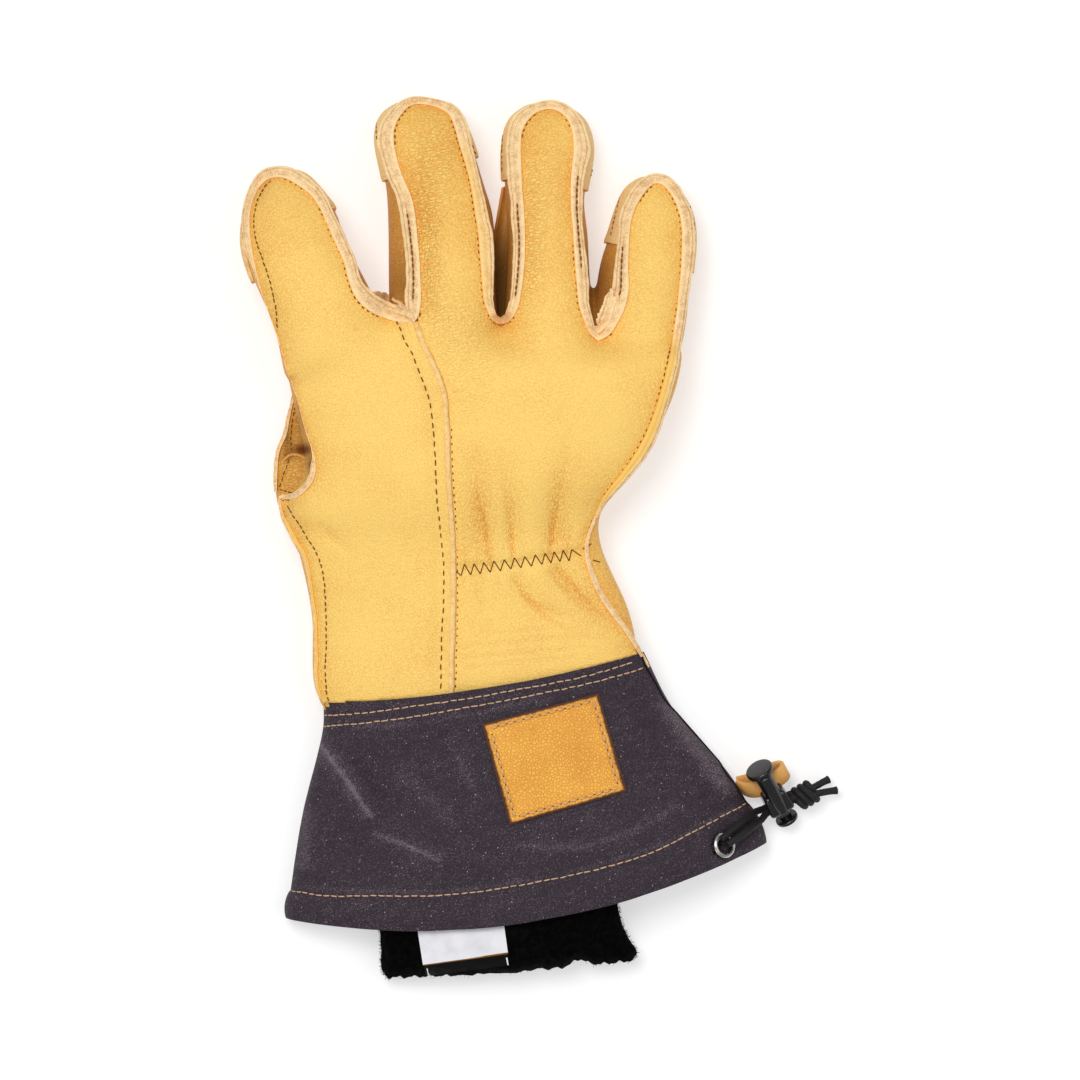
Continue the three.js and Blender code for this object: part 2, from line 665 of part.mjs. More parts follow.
// The drawcord: two strands out of the eyelet, through the lock to a knot with two tails
const STRANDS = {
  drawcord_strand_front: table('x y z', [
    [74.4, -109.6, 23.6], [78.2, -107.2, 22.6], [82.4, -104.4, 19.2], [86.4, -101.6, 14.2],
    [89.4, -98.6, 10.7], [93.6, -96.2, 10.6], [98.1, -93.6, 10.6],
  ]),
  drawcord_strand_rear: table('x y z', [
    [72.2, -107.8, 24], [75.8, -104.8, 22], [80.2, -101.6, 18.2], [84.1, -98.7, 12.6],
    [88.6, -97.1, 8.2], [92.8, -94.8, 8.2], [97.3, -92.2, 8.2],
  ]),
  drawcord_tail_front: table('x y z', [[108.2, -91.7, 8.4], [111.2, -91.2, 7.2], [114.6, -90.8, 6]]),
  drawcord_tail_rear: table('x y z', [[107.4, -89, 6.6], [109.4, -87.9, 5.8], [111.6, -86.9, 5]]),
};
const KNOT = { x: 102.9, y: -92.4, z: 8.6, radii: [4.8, 5, 4.4] };

function makeCords() {
  const circle = new THREE.EllipseCurve(0, 0, CORD / 2, CORD / 2);
  const section = new THREE.Shape(circle.getPoints(CORD_SIDES).slice(1));
  for (const [name, route] of Object.entries(STRANDS)) {
    const curve = new THREE.CatmullRomCurve3(route.map(({ x, y, z }) => new THREE.Vector3(x, y, z)));
    const steps = Math.max(2, Math.round(curve.getLength() / (2 * CORD)));
    const tube = new THREE.ExtrudeGeometry(section, { steps, bevelEnabled: false, extrudePath: curve });
    addMesh(name, toSolid(tube), material(BLACK, 0.8));
  }
  const knot = new THREE.SphereGeometry(1, 10, 7);
  knot.scale(...KNOT.radii);
  knot.translate(KNOT.x, KNOT.y, KNOT.z);
  addMesh('drawcord_knot', toSolid(knot), material(BLACK, 0.8));
}

makeLeather();
makeThumb();
makeWelts();
makeTipWraps();
makeCuff();
makeLiner();
makeEyelet();
makeLock();
makeCords();

export default group;
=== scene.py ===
"""A leather work glove with a canvas gauntlet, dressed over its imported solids.

The glove lies palm down on z = 0, +Y to the fingertips and +X to the little finger. Sizes are
in millimetres until a mesh is written. Seam lines are read from the photograph and are kept as
pixels in tables with named columns, which PhotoScale turns into millimetres.
"""

import logging
import math
from dataclasses import dataclass, field
from enum import Enum
from typing import Callable, Optional, Sequence

import bmesh
import bpy
import numpy as np
from mathutils import Matrix, Vector, noise
from mathutils.bvhtree import BVHTree
from mathutils.kdtree import KDTree


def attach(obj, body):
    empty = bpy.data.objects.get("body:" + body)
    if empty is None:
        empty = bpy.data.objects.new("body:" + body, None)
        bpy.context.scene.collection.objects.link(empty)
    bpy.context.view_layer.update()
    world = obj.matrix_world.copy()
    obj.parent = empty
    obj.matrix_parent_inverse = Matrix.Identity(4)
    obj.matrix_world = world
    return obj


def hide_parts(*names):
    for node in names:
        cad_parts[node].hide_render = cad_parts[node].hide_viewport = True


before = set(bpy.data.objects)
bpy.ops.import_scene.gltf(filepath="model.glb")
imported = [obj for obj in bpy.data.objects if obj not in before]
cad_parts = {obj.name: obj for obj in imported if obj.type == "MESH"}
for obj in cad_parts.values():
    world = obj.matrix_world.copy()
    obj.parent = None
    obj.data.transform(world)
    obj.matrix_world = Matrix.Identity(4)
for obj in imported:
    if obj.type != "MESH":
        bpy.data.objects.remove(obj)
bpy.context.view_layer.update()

logging.basicConfig(level=logging.INFO, format="%(name)s: %(message)s")
log = logging.getLogger("glove")

MM = 0.001
BODY = "glove"
PLUNGER_BODY = "lock_plunger"
NOISE_SEED = 7  # Without it the crumples change from run to run
BAND_TURN = 6.283  # The angle of one swing of a wave texture
Points = np.ndarray
Thing = bpy.types.Object
Finish = bpy.types.Material
Table = Sequence[Sequence[float]]


class Slot(Enum):
    """The record's material slots, and none for thread."""

    GOLDEN_LEATHER = "golden_leather"
    DARK_LEATHER = "dark_leather"
    SUEDE_EDGE = "suede_edge"
    WAXED_CANVAS = "waxed_canvas"
    PATCH_LEATHER = "patch_leather"
    LOOP_LEATHER = "loop_leather"
    FLEECE = "fleece"
    LABEL_CLOTH = "label_cloth"
    NICKEL = "nickel"
    BLACK_PLASTIC = "black_plastic"
    CORD = "cord"
    THREAD = ""


# Reading the photograph


@dataclass(frozen=True)
class PhotoScale:
    """Turns pixels of the photograph into millimetres of the glove's frame."""

    mm_per_px: float = 0.36
    origin_x: float = 520.5
    origin_y: float = 539.5

    def place(self, rows: Table) -> Points:
        """Points in millimetres.

        Args:
            rows: rows whose first two columns are x and y in pixels.

        Returns:
            An array of x and y in millimetres.
        """
        x, y = np.array([row[:2] for row in rows], float).T
        return np.column_stack([x - self.origin_x, self.origin_y - y]) * self.mm_per_px


PHOTO = PhotoScale()


def padded(rows: Table, columns: int) -> np.ndarray:
    """A table as an array, with zeros where a row ends early."""
    return np.array([[*row, *[0.0] * (columns - len(row))] for row in rows], float)


def run_lengths(line: Points) -> np.ndarray:
    """How far along a line each of its points is."""
    return np.concatenate([[0.0], np.cumsum(np.linalg.norm(np.diff(line, axis=0), axis=1))])


def bell(distance: np.ndarray, width: float) -> np.ndarray:
    """A smooth swell that is 1 at no distance and fades over a width."""
    return np.exp(-((distance / width) ** 2))


def unit(vectors: Points) -> Points:
    """Vectors brought to a length of one."""
    return vectors / np.maximum(np.linalg.norm(vectors, axis=-1, keepdims=True), 1e-9)


def smooth_line(points: Points, step: float) -> Points:
    """A smooth line through points, with even steps.

    Args:
        points: rows of coordinates.
        step: distance between the returned points.

    Returns:
        The points of the line.
    """
    knots = np.asarray(points, float)
    ring = np.vstack([2 * knots[0] - knots[1], knots, 2 * knots[-1] - knots[-2]])
    dense = []
    for a, b, c, d in zip(ring, ring[1:], ring[2:], ring[3:]):
        gaps = [max(np.linalg.norm(q - p), 1e-6) ** 0.5 for p, q in ((a, b), (b, c), (c, d))]
        t0, t1, t2, t3 = np.cumsum([0.0, *gaps])
        count = max(2, int(np.linalg.norm(c - b) / step * 3))
        for t in np.linspace(t1, t2, count, endpoint=False):
            a1 = ((t1 - t) * a + (t - t0) * b) / (t1 - t0)
            a2 = ((t2 - t) * b + (t - t1) * c) / (t2 - t1)
            a3 = ((t3 - t) * c + (t - t2) * d) / (t3 - t2)
            b1 = ((t2 - t) * a1 + (t - t0) * a2) / (t2 - t0)
            b2 = ((t3 - t) * a2 + (t - t1) * a3) / (t3 - t1)
            dense.append(((t2 - t) * b1 + (t - t1) * b2) / (t2 - t1))
    dense.append(knots[-1])
    return even_steps(np.array(dense), step)


def even_steps(line: Points, step: float) -> Points:
    """The line again with points at even distances."""
    along = run_lengths(line)
    count = max(2, int(round(along[-1] / step)) + 1)
    marks = np.linspace(0, along[-1], count)
    return np.column_stack([np.interp(marks, along, line[:, k]) for k in range(line.shape[1])])


def inside(points: Points, outline: Points) -> np.ndarray:
    """Which points lie inside a closed outline."""
    result = np.zeros(len(points), bool)
    x, y = points[:, 0], points[:, 1]
    for (ax, ay), (bx, by) in zip(outline, np.roll(outline, -1, axis=0)):
        if ay == by:
            continue
        crosses = (ay > y) != (by > y)
        result ^= crosses & (x < (bx - ax) * (y - ay) / (by - ay) + ax)
    return result


def nearest(points: Points, line: Points) -> tuple[np.ndarray, Points, np.ndarray]:
    """The nearest place on a line to each point.

    Args:
        points: rows of x and y.
        line: the line's own points, close together.

    Returns:
        The distances, the nearest places, and how far along the line they are.
    """
    tree = KDTree(len(line))
    for i, (x, y) in enumerate(line[:, :2].tolist()):
        tree.insert((x, y, 0), i)
    tree.balance()
    near = np.array([tree.find((x, y, 0))[1] for x, y in points[:, :2].tolist()])
    along = run_lengths(line)
    best = np.full(len(points), 1e9)
    place = np.zeros((len(points), 2))
    mark = np.zeros(len(points))
    for first in (near - 1, near):
        k = np.clip(first, 0, len(line) - 2)
        start, span = line[k], line[k + 1] - line[k]
        size = np.maximum((span**2).sum(1), 1e-12)
        t = np.clip(((points - start) * span).sum(1) / size, 0, 1)
        q = start + t[:, None] * span
        distance = np.linalg.norm(points - q, axis=1)
        closer = distance < best
        best[closer] = distance[closer]
        place[closer] = q[closer]
        mark[closer] = (along[k] + t * np.sqrt(size))[closer]
    return best, place, mark


def sideways(line: Points) -> Points:
    """Unit vectors to the left of a line's way, seen from above."""
    way = unit(np.gradient(line[:, :2], axis=0))
    return np.column_stack([-way[:, 1], way[:, 0]])


def wobble(count: int, step: float, wave: float, seed: int) -> np.ndarray:
    """Smooth chance between -1 and 1 along a line.

    Args:
        count: how many values.
        step: distance between values.
        wave: typical length of one swing.
        seed: which of the many such lines.

    Returns:
        The values.
    """
    rng = np.random.default_rng(seed)
    knots = rng.uniform(-1, 1, int(count * step / wave) + 4)
    where = np.arange(count) * step / wave
    low = where.astype(int)
    t = where - low
    t = t * t * (3 - 2 * t)
    return knots[low] * (1 - t) + knots[low + 1] * t


def ease(value: np.ndarray, low: float, high: float) -> np.ndarray:
    """A smooth step from 0 at low to 1 at high."""
    t = np.clip((value - low) / (high - low), 0, 1)
    return t * t * (3 - 2 * t)


# Meshes


def clear_selection() -> None:
    """Leaves edit mode and selects nothing."""
    if bpy.context.mode != "OBJECT":
        bpy.ops.object.mode_set(mode="OBJECT")
    bpy.ops.object.select_all(action="DESELECT")


def choose(thing: Thing) -> None:
    """Selects one object and makes it active."""
    clear_selection()
    thing.select_set(True)
    bpy.context.view_layer.objects.active = thing


def new_mesh(name: str, points: Points, faces: Sequence[Sequence[int]]) -> Thing:
    """A mesh object from points in millimetres."""
    mesh = bpy.data.meshes.new(name)
    corners = [list(map(int, face)) for face in faces]
    mesh.from_pydata((np.asarray(points, float) * MM).tolist(), [], corners)
    mesh.update()
    thing = bpy.data.objects.new(name, mesh)
    bpy.context.scene.collection.objects.link(thing)
    return thing


def points_of(thing: Thing) -> Points:
    """The vertices of a mesh in millimetres."""
    flat = np.empty(len(thing.data.vertices) * 3)
    thing.data.vertices.foreach_get("co", flat)
    return flat.reshape(-1, 3) / MM


def move_points(thing: Thing, points: Points) -> None:
    """Writes a mesh's vertices back."""
    thing.data.vertices.foreach_set("co", (np.asarray(points, float) * MM).ravel())
    thing.data.update()


def normals_of(thing: Thing) -> Points:
    """The vertex normals of a mesh."""
    flat = np.empty(len(thing.data.vertices) * 3)
    thing.data.vertex_normals.foreach_get("vector", flat)
    return flat.reshape(-1, 3)


def apply_modifier(thing: Thing, kind: str, **settings: object) -> None:
    """Adds a modifier and applies it at once."""
    choose(thing)
    modifier = thing.modifiers.new(kind.title(), kind)
    for key, value in settings.items():
        setattr(modifier, key, value)
    bpy.ops.object.modifier_apply(modifier=modifier.name)


def keep_faces(thing: Thing, keep: np.ndarray) -> None:
    """Deletes the faces whose entry in keep is false, and the loose points they leave."""
    bm = bmesh.new()
    bm.from_mesh(thing.data)
    bm.faces.ensure_lookup_table()
    bmesh.ops.delete(bm, geom=[f for f in bm.faces if not keep[f.index]], context="FACES")
    bm.to_mesh(thing.data)
    bm.free()
    thing.data.update()


def face_middles(thing: Thing) -> Points:
    """The middle of each face in millimetres."""
    flat = np.empty(len(thing.data.polygons) * 3)
    thing.data.polygons.foreach_get("center", flat)
    return flat.reshape(-1, 3) / MM


def face_normals(thing: Thing) -> Points:
    """The normal of each face."""
    flat = np.empty(len(thing.data.polygons) * 3)
    thing.data.polygons.foreach_get("normal", flat)
    return flat.reshape(-1, 3)


def turn_outwards(thing: Thing) -> None:
    """Turns a closed mesh's faces outwards."""
    points = points_of(thing)
    volume = 0.0
    for polygon in thing.data.polygons:
        corners = points[list(polygon.vertices)]
        fan = np.cross(corners[1:-1], corners[2:])
        volume += float((corners[0] * fan).sum())
    if volume < 0:
        thing.data.flip_normals()


def grid_mesh(
    name: str,
    grid: Points,
    around: bool = False,
    about: Optional[Sequence[float]] = None,
    closed: bool = False,
    caps: bool = True,
) -> Thing:
    """A mesh from rows of points.

    Args:
        name: the mesh's name.
        grid: the points, as an array of rows, columns and coordinates.
        around: whether each row is a closed ring.
        about: a point that an open sheet's faces look away from.
        closed: whether the last row joins the first.
        caps: whether the first and last ring are closed.

    Returns:
        The mesh's object.
    """
    rows, columns = grid.shape[:2]
    index = np.arange(rows * columns).reshape(rows, columns)
    if around:
        index = np.hstack([index, index[:, :1]])
    if closed:
        index = np.vstack([index, index[:1]])
    corners = [index[:-1, :-1], index[:-1, 1:], index[1:, 1:], index[1:, :-1]]
    faces = np.stack(corners, axis=-1).reshape(-1, 4).tolist()
    solid = around and (closed or caps)
    if around and caps and not closed:
        faces.append(list(range(columns))[::-1])
        faces.append(list(range((rows - 1) * columns, rows * columns)))
    thing = new_mesh(name, grid.reshape(-1, 3), faces)
    if solid:
        turn_outwards(thing)
    elif about is not None:
        away = ((face_middles(thing) - np.array(about)) * face_normals(thing)).sum()
        if away < 0:
            thing.data.flip_normals()
    return thing


def thicken(
    thing: Thing,
    wall: float,
    finish: Finish,
    rim: Optional[Finish] = None,
) -> None:
    """Gives a sheet its wall, inwards, with a finish of its own on the cut edge."""
    thing.data.materials.append(finish)
    thing.data.materials.append(rim or finish)
    apply_modifier(thing, "SOLIDIFY", thickness=wall * MM, offset=-1.0, material_offset_rim=1)


def smooth_border(thing: Thing, rounds: int) -> None:
    """Evens the open border of a sheet."""
    points = points_of(thing)
    uses: dict[tuple[int, int], int] = {}
    for polygon in thing.data.polygons:
        for key in polygon.edge_keys:
            uses[key] = uses.get(key, 0) + 1
    edges = np.array([key for key, count in uses.items() if count == 1])
    if not len(edges):
        return
    total = np.zeros(len(points))
    np.add.at(total, edges.ravel(), 1)
    border = total > 0
    for _ in range(rounds):
        near = np.zeros_like(points)
        np.add.at(near, edges[:, 0], points[edges[:, 1]])
        np.add.at(near, edges[:, 1], points[edges[:, 0]])
        points[border] = 0.5 * points[border] + 0.5 * near[border] / total[border][:, None]
    move_points(thing, points)


def set_attributes(thing: Thing, **layers: object) -> None:
    """Stores numbers on a mesh, under the names that the finishes read.

    Args:
        thing: the mesh.
        layers: for each name a number for each vertex, or one for them all.
    """
    count = len(thing.data.vertices)
    for name, values in layers.items():
        layer = thing.data.attributes.new(name, "FLOAT", "POINT")
        layer.data.foreach_set("value", np.full(count, values, np.float32))


def finish_piece(
    thing: Thing,
    finish: Optional[Finish],
    slot: Slot,
    replaces: Sequence[str] = (),
    body: str = BODY,
    angle: float = 60,
) -> Thing:
    """Dresses a piece and ties it to its body.

    Args:
        thing: the piece.
        finish: its material, or None where it has its materials already.
        slot: the record's material slot, or none for thread.
        replaces: the solids that it stands for.
        body: the body that it moves with.
        angle: edges sharper than this many degrees stay sharp.

    Returns:
        The piece.
    """
    if finish is not None:
        thing.data.materials.append(finish)
    if replaces:
        thing.name = f"{replaces[0]}_{slot.value}"
    choose(thing)
    bpy.ops.object.shade_smooth_by_angle(angle=math.radians(angle))
    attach(thing, body)
    if replaces:
        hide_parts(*replaces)
    log.info("%s: %d faces", thing.name, len(thing.data.polygons))
    return thing


# Materials


def math_method(operation: str, swap: bool = False) -> Callable[["Wire", object], "Wire"]:
    """A method of a wire that adds a Math node.

    Args:
        operation: what the node does.
        swap: whether the wire is the second value.

    Returns:
        The method.
    """

    def method(self: "Wire", other: object) -> "Wire":
        """A Math node on this wire and another value."""
        first, second = (other, self) if swap else (self, other)
        return self.paint.add("ShaderNodeMath", {"operation": operation}, {0: first, 1: second})

    return method


class Wire:
    """A node's output, with arithmetic."""

    def __init__(self, paint: "Paint", socket: bpy.types.NodeSocket) -> None:
        """Wraps a socket of a paint's tree."""
        self.paint = paint
        self.socket = socket

    __add__ = math_method("ADD")
    __radd__ = math_method("ADD")
    __sub__ = math_method("SUBTRACT")
    __rsub__ = math_method("SUBTRACT", swap=True)
    __mul__ = math_method("MULTIPLY")
    __rmul__ = math_method("MULTIPLY")

    def above(self, low: float, high: float) -> "Wire":
        """A smooth step from 0 at low to 1 at high."""
        settings = {"interpolation_type": "SMOOTHSTEP"}
        return self.paint.add("ShaderNodeMapRange", settings, {0: self, 1: low, 2: high})


class Cell(Enum):
    """Which distance a pattern of cells gives."""

    MIDDLE = "F1"
    SOFT_MIDDLE = "SMOOTH_F1"
    EDGE = "DISTANCE_TO_EDGE"


class Paint:
    """Builds one material's nodes."""

    def __init__(self, name: str) -> None:
        """Starts a material with a Principled shader."""
        self.material = bpy.data.materials.new(name)
        self.material.use_nodes = True
        self.tree = self.material.node_tree
        self.shader = self.tree.nodes["Principled BSDF"]
        self._place: Optional[Wire] = None

    def add(
        self,
        kind: str,
        settings: Optional[dict] = None,
        inputs: Optional[dict] = None,
        output: object = 0,
    ) -> Wire:
        """Adds a node.

        Args:
            kind: the node's type.
            settings: its own settings.
            inputs: values or wires of its sockets, by index or name.
            output: which output is returned.

        Returns:
            The wire of that output.
        """
        node = self.tree.nodes.new(kind)
        for key, value in (settings or {}).items():
            setattr(node, key, value)
        for key, value in (inputs or {}).items():
            if isinstance(value, Wire):
                self.tree.links.new(value.socket, node.inputs[key])
            else:
                node.inputs[key].default_value = value
        return Wire(self, node.outputs[output])

    def place(self) -> Wire:
        """The object's own coordinates, in metres."""
        if self._place is None:
            self._place = self.add("ShaderNodeTexCoord", output="Object")
        return self._place

    def stretched(self, scale: Sequence[float], turn: float = 0.0) -> Wire:
        """The coordinates scaled along each axis, after a turn about z in degrees."""
        inputs = {"Vector": self.place(), "Rotation": (0, 0, math.radians(turn)), "Scale": scale}
        return self.add("ShaderNodeMapping", {"vector_type": "TEXTURE"}, inputs)

    def _at_size(self, size: float, where: Optional[Wire], **more: float) -> dict[str, object]:
        """The inputs of a pattern of a size in millimetres."""
        return {"Vector": where or self.place(), "Scale": 1 / (size * MM), **more}

    def noise(
        self, size: float, detail: float = 2, where: Optional[Wire] = None, warp: float = 0
    ) -> Wire:
        """Noise with spots of the given size in millimetres."""
        inputs = self._at_size(size, where, Detail=detail, Distortion=warp)
        return self.add("ShaderNodeTexNoise", None, inputs)

    def warped(self, size: float, reach: float, where: Optional[Wire] = None) -> Wire:
        """Coordinates shifted by noise of a size, as far as reach in millimetres."""
        drift = self.add("ShaderNodeTexNoise", None, self._at_size(size, None, Detail=1), "Color")
        shift = {0: drift, "Scale": reach * MM}
        scaled = self.add("ShaderNodeVectorMath", {"operation": "SCALE"}, shift)
        both = {0: where or self.place(), 1: scaled}
        return self.add("ShaderNodeVectorMath", {"operation": "ADD"}, both)

    def cells(
        self, size: float, where: Optional[Wire] = None, feature: Cell = Cell.MIDDLE
    ) -> Wire:
        """Distance to the middle or edge of cells of the given size in millimetres."""
        settings = {"feature": feature.value}
        return self.add("ShaderNodeTexVoronoi", settings, self._at_size(size, where), "Distance")

    def bands(self, size: float, direction: str, warp: float = 0) -> Wire:
        """Soft bands across a direction, as far apart as threads of the given size."""
        settings = {"wave_type": "BANDS", "bands_direction": direction, "wave_profile": "SIN"}
        inputs = self._at_size(size * BAND_TURN / 2, None, Distortion=warp)
        return self.add("ShaderNodeTexWave", settings, inputs)

    def attribute(self, name: str) -> Wire:
        """A number stored on the mesh."""
        return self.add("ShaderNodeAttribute", {"attribute_name": name}, None, "Fac")

    def mix(self, low: object, high: object, share: object) -> Wire:
        """A colour between two colours."""
        node = self.tree.nodes.new("ShaderNodeMix")
        node.data_type = "RGBA"
        sockets = {s.identifier: s for s in node.inputs}
        for key, value in (("A_Color", low), ("B_Color", high), ("Factor_Float", share)):
            if isinstance(value, Wire):
                self.tree.links.new(value.socket, sockets[key])
            elif key == "Factor_Float":
                sockets[key].default_value = value
            else:
                sockets[key].default_value = (*value, 1.0)
        return Wire(self, next(s for s in node.outputs if s.identifier == "Result_Color"))

    def bump(self, height: Wire, depth: float, under: Optional[Wire] = None) -> Wire:
        """A bumped normal, with the depth in millimetres, over another bump."""
        inputs: dict = {"Strength": 1.0, "Distance": depth * MM, "Height": height}
        if under is not None:
            inputs["Normal"] = under
        return self.add("ShaderNodeBump", None, inputs)

    def finish(
        self,
        colour: object,
        roughness: object,
        normal: Optional[Wire] = None,
        fixed: Optional[dict[str, float]] = None,
    ) -> Finish:
        """Connects the shader and returns the material.

        Args:
            colour: the base colour, as a wire or a colour.
            roughness: the roughness, as a wire or a number.
            normal: the bumped normal.
            fixed: numbers for the shader's other sockets.

        Returns:
            The material.
        """
        values = {"Base Color": colour, "Roughness": roughness, "Normal": normal}
        for key, value in values.items():
            if isinstance(value, Wire):
                self.tree.links.new(value.socket, self.shader.inputs[key])
            elif key == "Base Color":
                self.shader.inputs[key].default_value = (*value, 1.0)
            elif value is not None:
                self.shader.inputs[key].default_value = value
        for key, value in (fixed or {}).items():
            self.shader.inputs[key].default_value = value
        return self.material


Colour = tuple[float, float, float]


def srgb(red: int, green: int, blue: int) -> Colour:
    """A colour from 0 to 255 screen values."""
    shares = (red / 255, green / 255, blue / 255)
    return tuple(v / 12.92 if v < 0.04045 else ((v + 0.055) / 1.055) ** 2.4 for v in shares)


@dataclass(frozen=True)
class GrainLeather:
    """Smooth golden leather with a fine pebbled grain."""

    name: str = "golden_leather"
    light: Colour = srgb(253, 211, 114)
    deep: Colour = srgb(222, 146, 50)
    raw: Colour = srgb(240, 204, 152)
    shade: Colour = srgb(104, 52, 2)
    grain: float = 0.8
    depth: float = 0.16

    def make(self) -> Finish:
        """The material, with painted shade that deepens its colour near seams, in folds and in shaded
        hollows.
        """
        paint = Paint(self.name)
        cloud = paint.noise(22, 3)
        mottle = paint.noise(0.9, 3)
        lines = self._valleys(paint, 1.15, paint.warped(1.6, 0.5))
        across = self._wrinkles(paint, (2.4, 1.0, 1.5), 12)
        along = self._wrinkles(paint, (1.0, 2.8, 1.5), -4)
        ripples = (across - 0.35) * paint.attribute("ripple") * 1.2
        waves = ripples + (along - 0.35) * paint.attribute("pleat")
        lines = lines * (1 - paint.attribute("ripple") * 0.55)
        # Painted shade: the colour deepens near the seams and in the folds, where shade falls.
        share = paint.attribute("edge") * 0.3 + paint.attribute("crease") * 0.42
        share = share + (cloud - 0.5) * 0.5 + (mottle - 0.5) * 0.6
        # Part of this deeper tone is painted shade, on the palm, the thumb and in the wrist folds.
        share = share + lines * 0.34 + waves * 0.34 + paint.attribute("tan") * 0.3
        colour = paint.mix(self.light, self.deep, share.above(0.0, 1.15))
        colour = paint.mix(colour, self.raw, paint.attribute("raw"))
        colour = paint.mix(colour, self.shade, paint.attribute("shade"))
        pebbles = paint.cells(self.grain, feature=Cell.SOFT_MIDDLE)
        grain = pebbles * 0.8 + paint.noise(0.4) * 0.35 + paint.noise(3.5) * 0.6 - lines * 0.5
        normal = paint.bump(grain, self.depth)
        normal = paint.bump(0 - waves, self.depth * 0.9, normal)
        rough = mottle * 0.14 + 0.48 + paint.attribute("shade") * 0.4
        return paint.finish(colour, rough, normal, {"Specular IOR Level": 0.3})

    def _valleys(self, paint: Paint, size: float, where: Wire) -> Wire:
        """The lines between pebbles of a size in millimetres."""
        return (0.24 - paint.cells(size, where, Cell.EDGE)).above(0, 0.24)

    def _wrinkles(self, paint: Paint, stretch: Sequence[float], turn: float) -> Wire:
        """Fine wrinkles, stretched along each axis and turned by some degrees."""
        where = paint.warped(2.4, 1.1, paint.stretched(stretch, turn))
        return self._valleys(paint, 0.95, where)


@dataclass(frozen=True)
class Suede:
    """Raw leather: the cut edges and the flesh side."""

    name: str = "suede_edge"
    light: Colour = srgb(253, 221, 168)
    deep: Colour = srgb(215, 165, 112)
    slit: Colour = srgb(132, 84, 42)
    gold: Colour = srgb(246, 198, 98)
    fibre: float = 0.42
    depth: float = 0.2

    def make(self) -> Finish:
        """The material, with short fibres, faint blotches and painted shade in the groove between the
        plies.
        """
        paint = Paint(self.name)
        fibres = paint.noise(self.fibre, 4, None, 0.6)
        blotch = paint.noise(2.4, 3)
        share = (fibres - 0.5) * 2.0 + (blotch - 0.5) * 1.4 + 0.4 - paint.attribute("pale") * 0.4
        colour = paint.mix(self.light, self.deep, share.above(0.0, 1.0))
        colour = paint.mix(colour, self.gold, paint.attribute("gold"))
        colour = paint.mix(colour, self.slit, paint.attribute("slit"))
        normal = paint.bump(fibres * 0.8 + blotch * 0.5, self.depth)
        return paint.finish(colour, 0.92, normal, {"Specular IOR Level": 0.2})


@dataclass(frozen=True)
class WaxedCanvas:
    """Dark waxed cloth with worn creases and pale lint."""

    name: str = "waxed_canvas"
    dark: Colour = srgb(46, 35, 45)
    worn: Colour = srgb(118, 106, 114)
    lint: Colour = srgb(214, 198, 180)
    thread: float = 0.5

    def make(self) -> Finish:
        """The material, a plain weave under wax."""
        paint = Paint(self.name)
        cloud = paint.noise(18, 4)
        streak = paint.noise(3.0, 4, paint.stretched((2.2, 0.8, 1.0), 20))
        fine = paint.noise(0.5, 3)
        share = paint.attribute("worn") * (fine * 1.2 + streak * 0.6 - 0.2) + (cloud - 0.45) * 0.35
        share = share + (streak - 0.5) * 0.35 + (fine - 0.5) * 2.0 + 0.14
        colour = paint.mix(self.dark, self.worn, share.above(0.0, 1.25))
        colour = paint.mix(colour, self.lint, self._specks(paint, 2.3, 0.1) * 0.75)
        colour = paint.mix(colour, self.lint, self._specks(paint, 1.1, 0.16) * 0.3)
        threads = [paint.bands(self.thread, way, 1.2) * 0.5 for way in ("X", "Y")]
        weave = threads[0] + threads[1] + fine * 0.8
        normal = paint.bump(weave, 0.1)
        normal = paint.bump(streak, 0.3, normal)
        return paint.finish(colour, cloud * 0.2 + 0.58, normal, {"Specular IOR Level": 0.25})

    def _specks(self, paint: Paint, spread: float, size: float) -> Wire:
        """Specks of lint in some of the cells of a size, each a part of its cell wide."""
        chance = (paint.noise(spread * 0.6, 2) - 0.44).above(0.0, 0.05)
        return (size - paint.cells(spread)).above(0.0, 0.04) * chance


@dataclass(frozen=True)
class Fleece:
    """Brushed black knit."""

    name: str = "fleece"
    dark: Colour = (0.0008, 0.0008, 0.001)
    tip: Colour = (0.006, 0.0055, 0.006)

    def make(self) -> Finish:
        """The material, clumped and furry."""
        paint = Paint(self.name)
        clumps = paint.noise(2.2, 5)
        hairs = paint.noise(0.35, 3, None, 1.0)
        share = (clumps * 0.5 + hairs * 0.5 - 0.42).above(0.0, 0.3)
        colour = paint.mix(self.dark, self.tip, share)
        normal = paint.bump(clumps + hairs * 0.6, 0.6)
        return paint.finish(colour, 0.95, normal, {"Specular IOR Level": 0.04})


@dataclass(frozen=True)
class Thread:
    """Twisted sewing thread."""

    name: str
    colour: Colour

    def make(self) -> Finish:
        """The material, with the twist as fine bands."""
        paint = Paint(self.name)
        speck = paint.noise(0.5, 2)
        dark = tuple(v * 0.55 for v in self.colour)
        colour = paint.mix(self.colour, dark, (speck - 0.45).above(0.0, 0.3))
        normal = paint.bump(paint.noise(0.2, 1), 0.05)
        return paint.finish(colour, 0.9, normal, {"Specular IOR Level": 0.05})


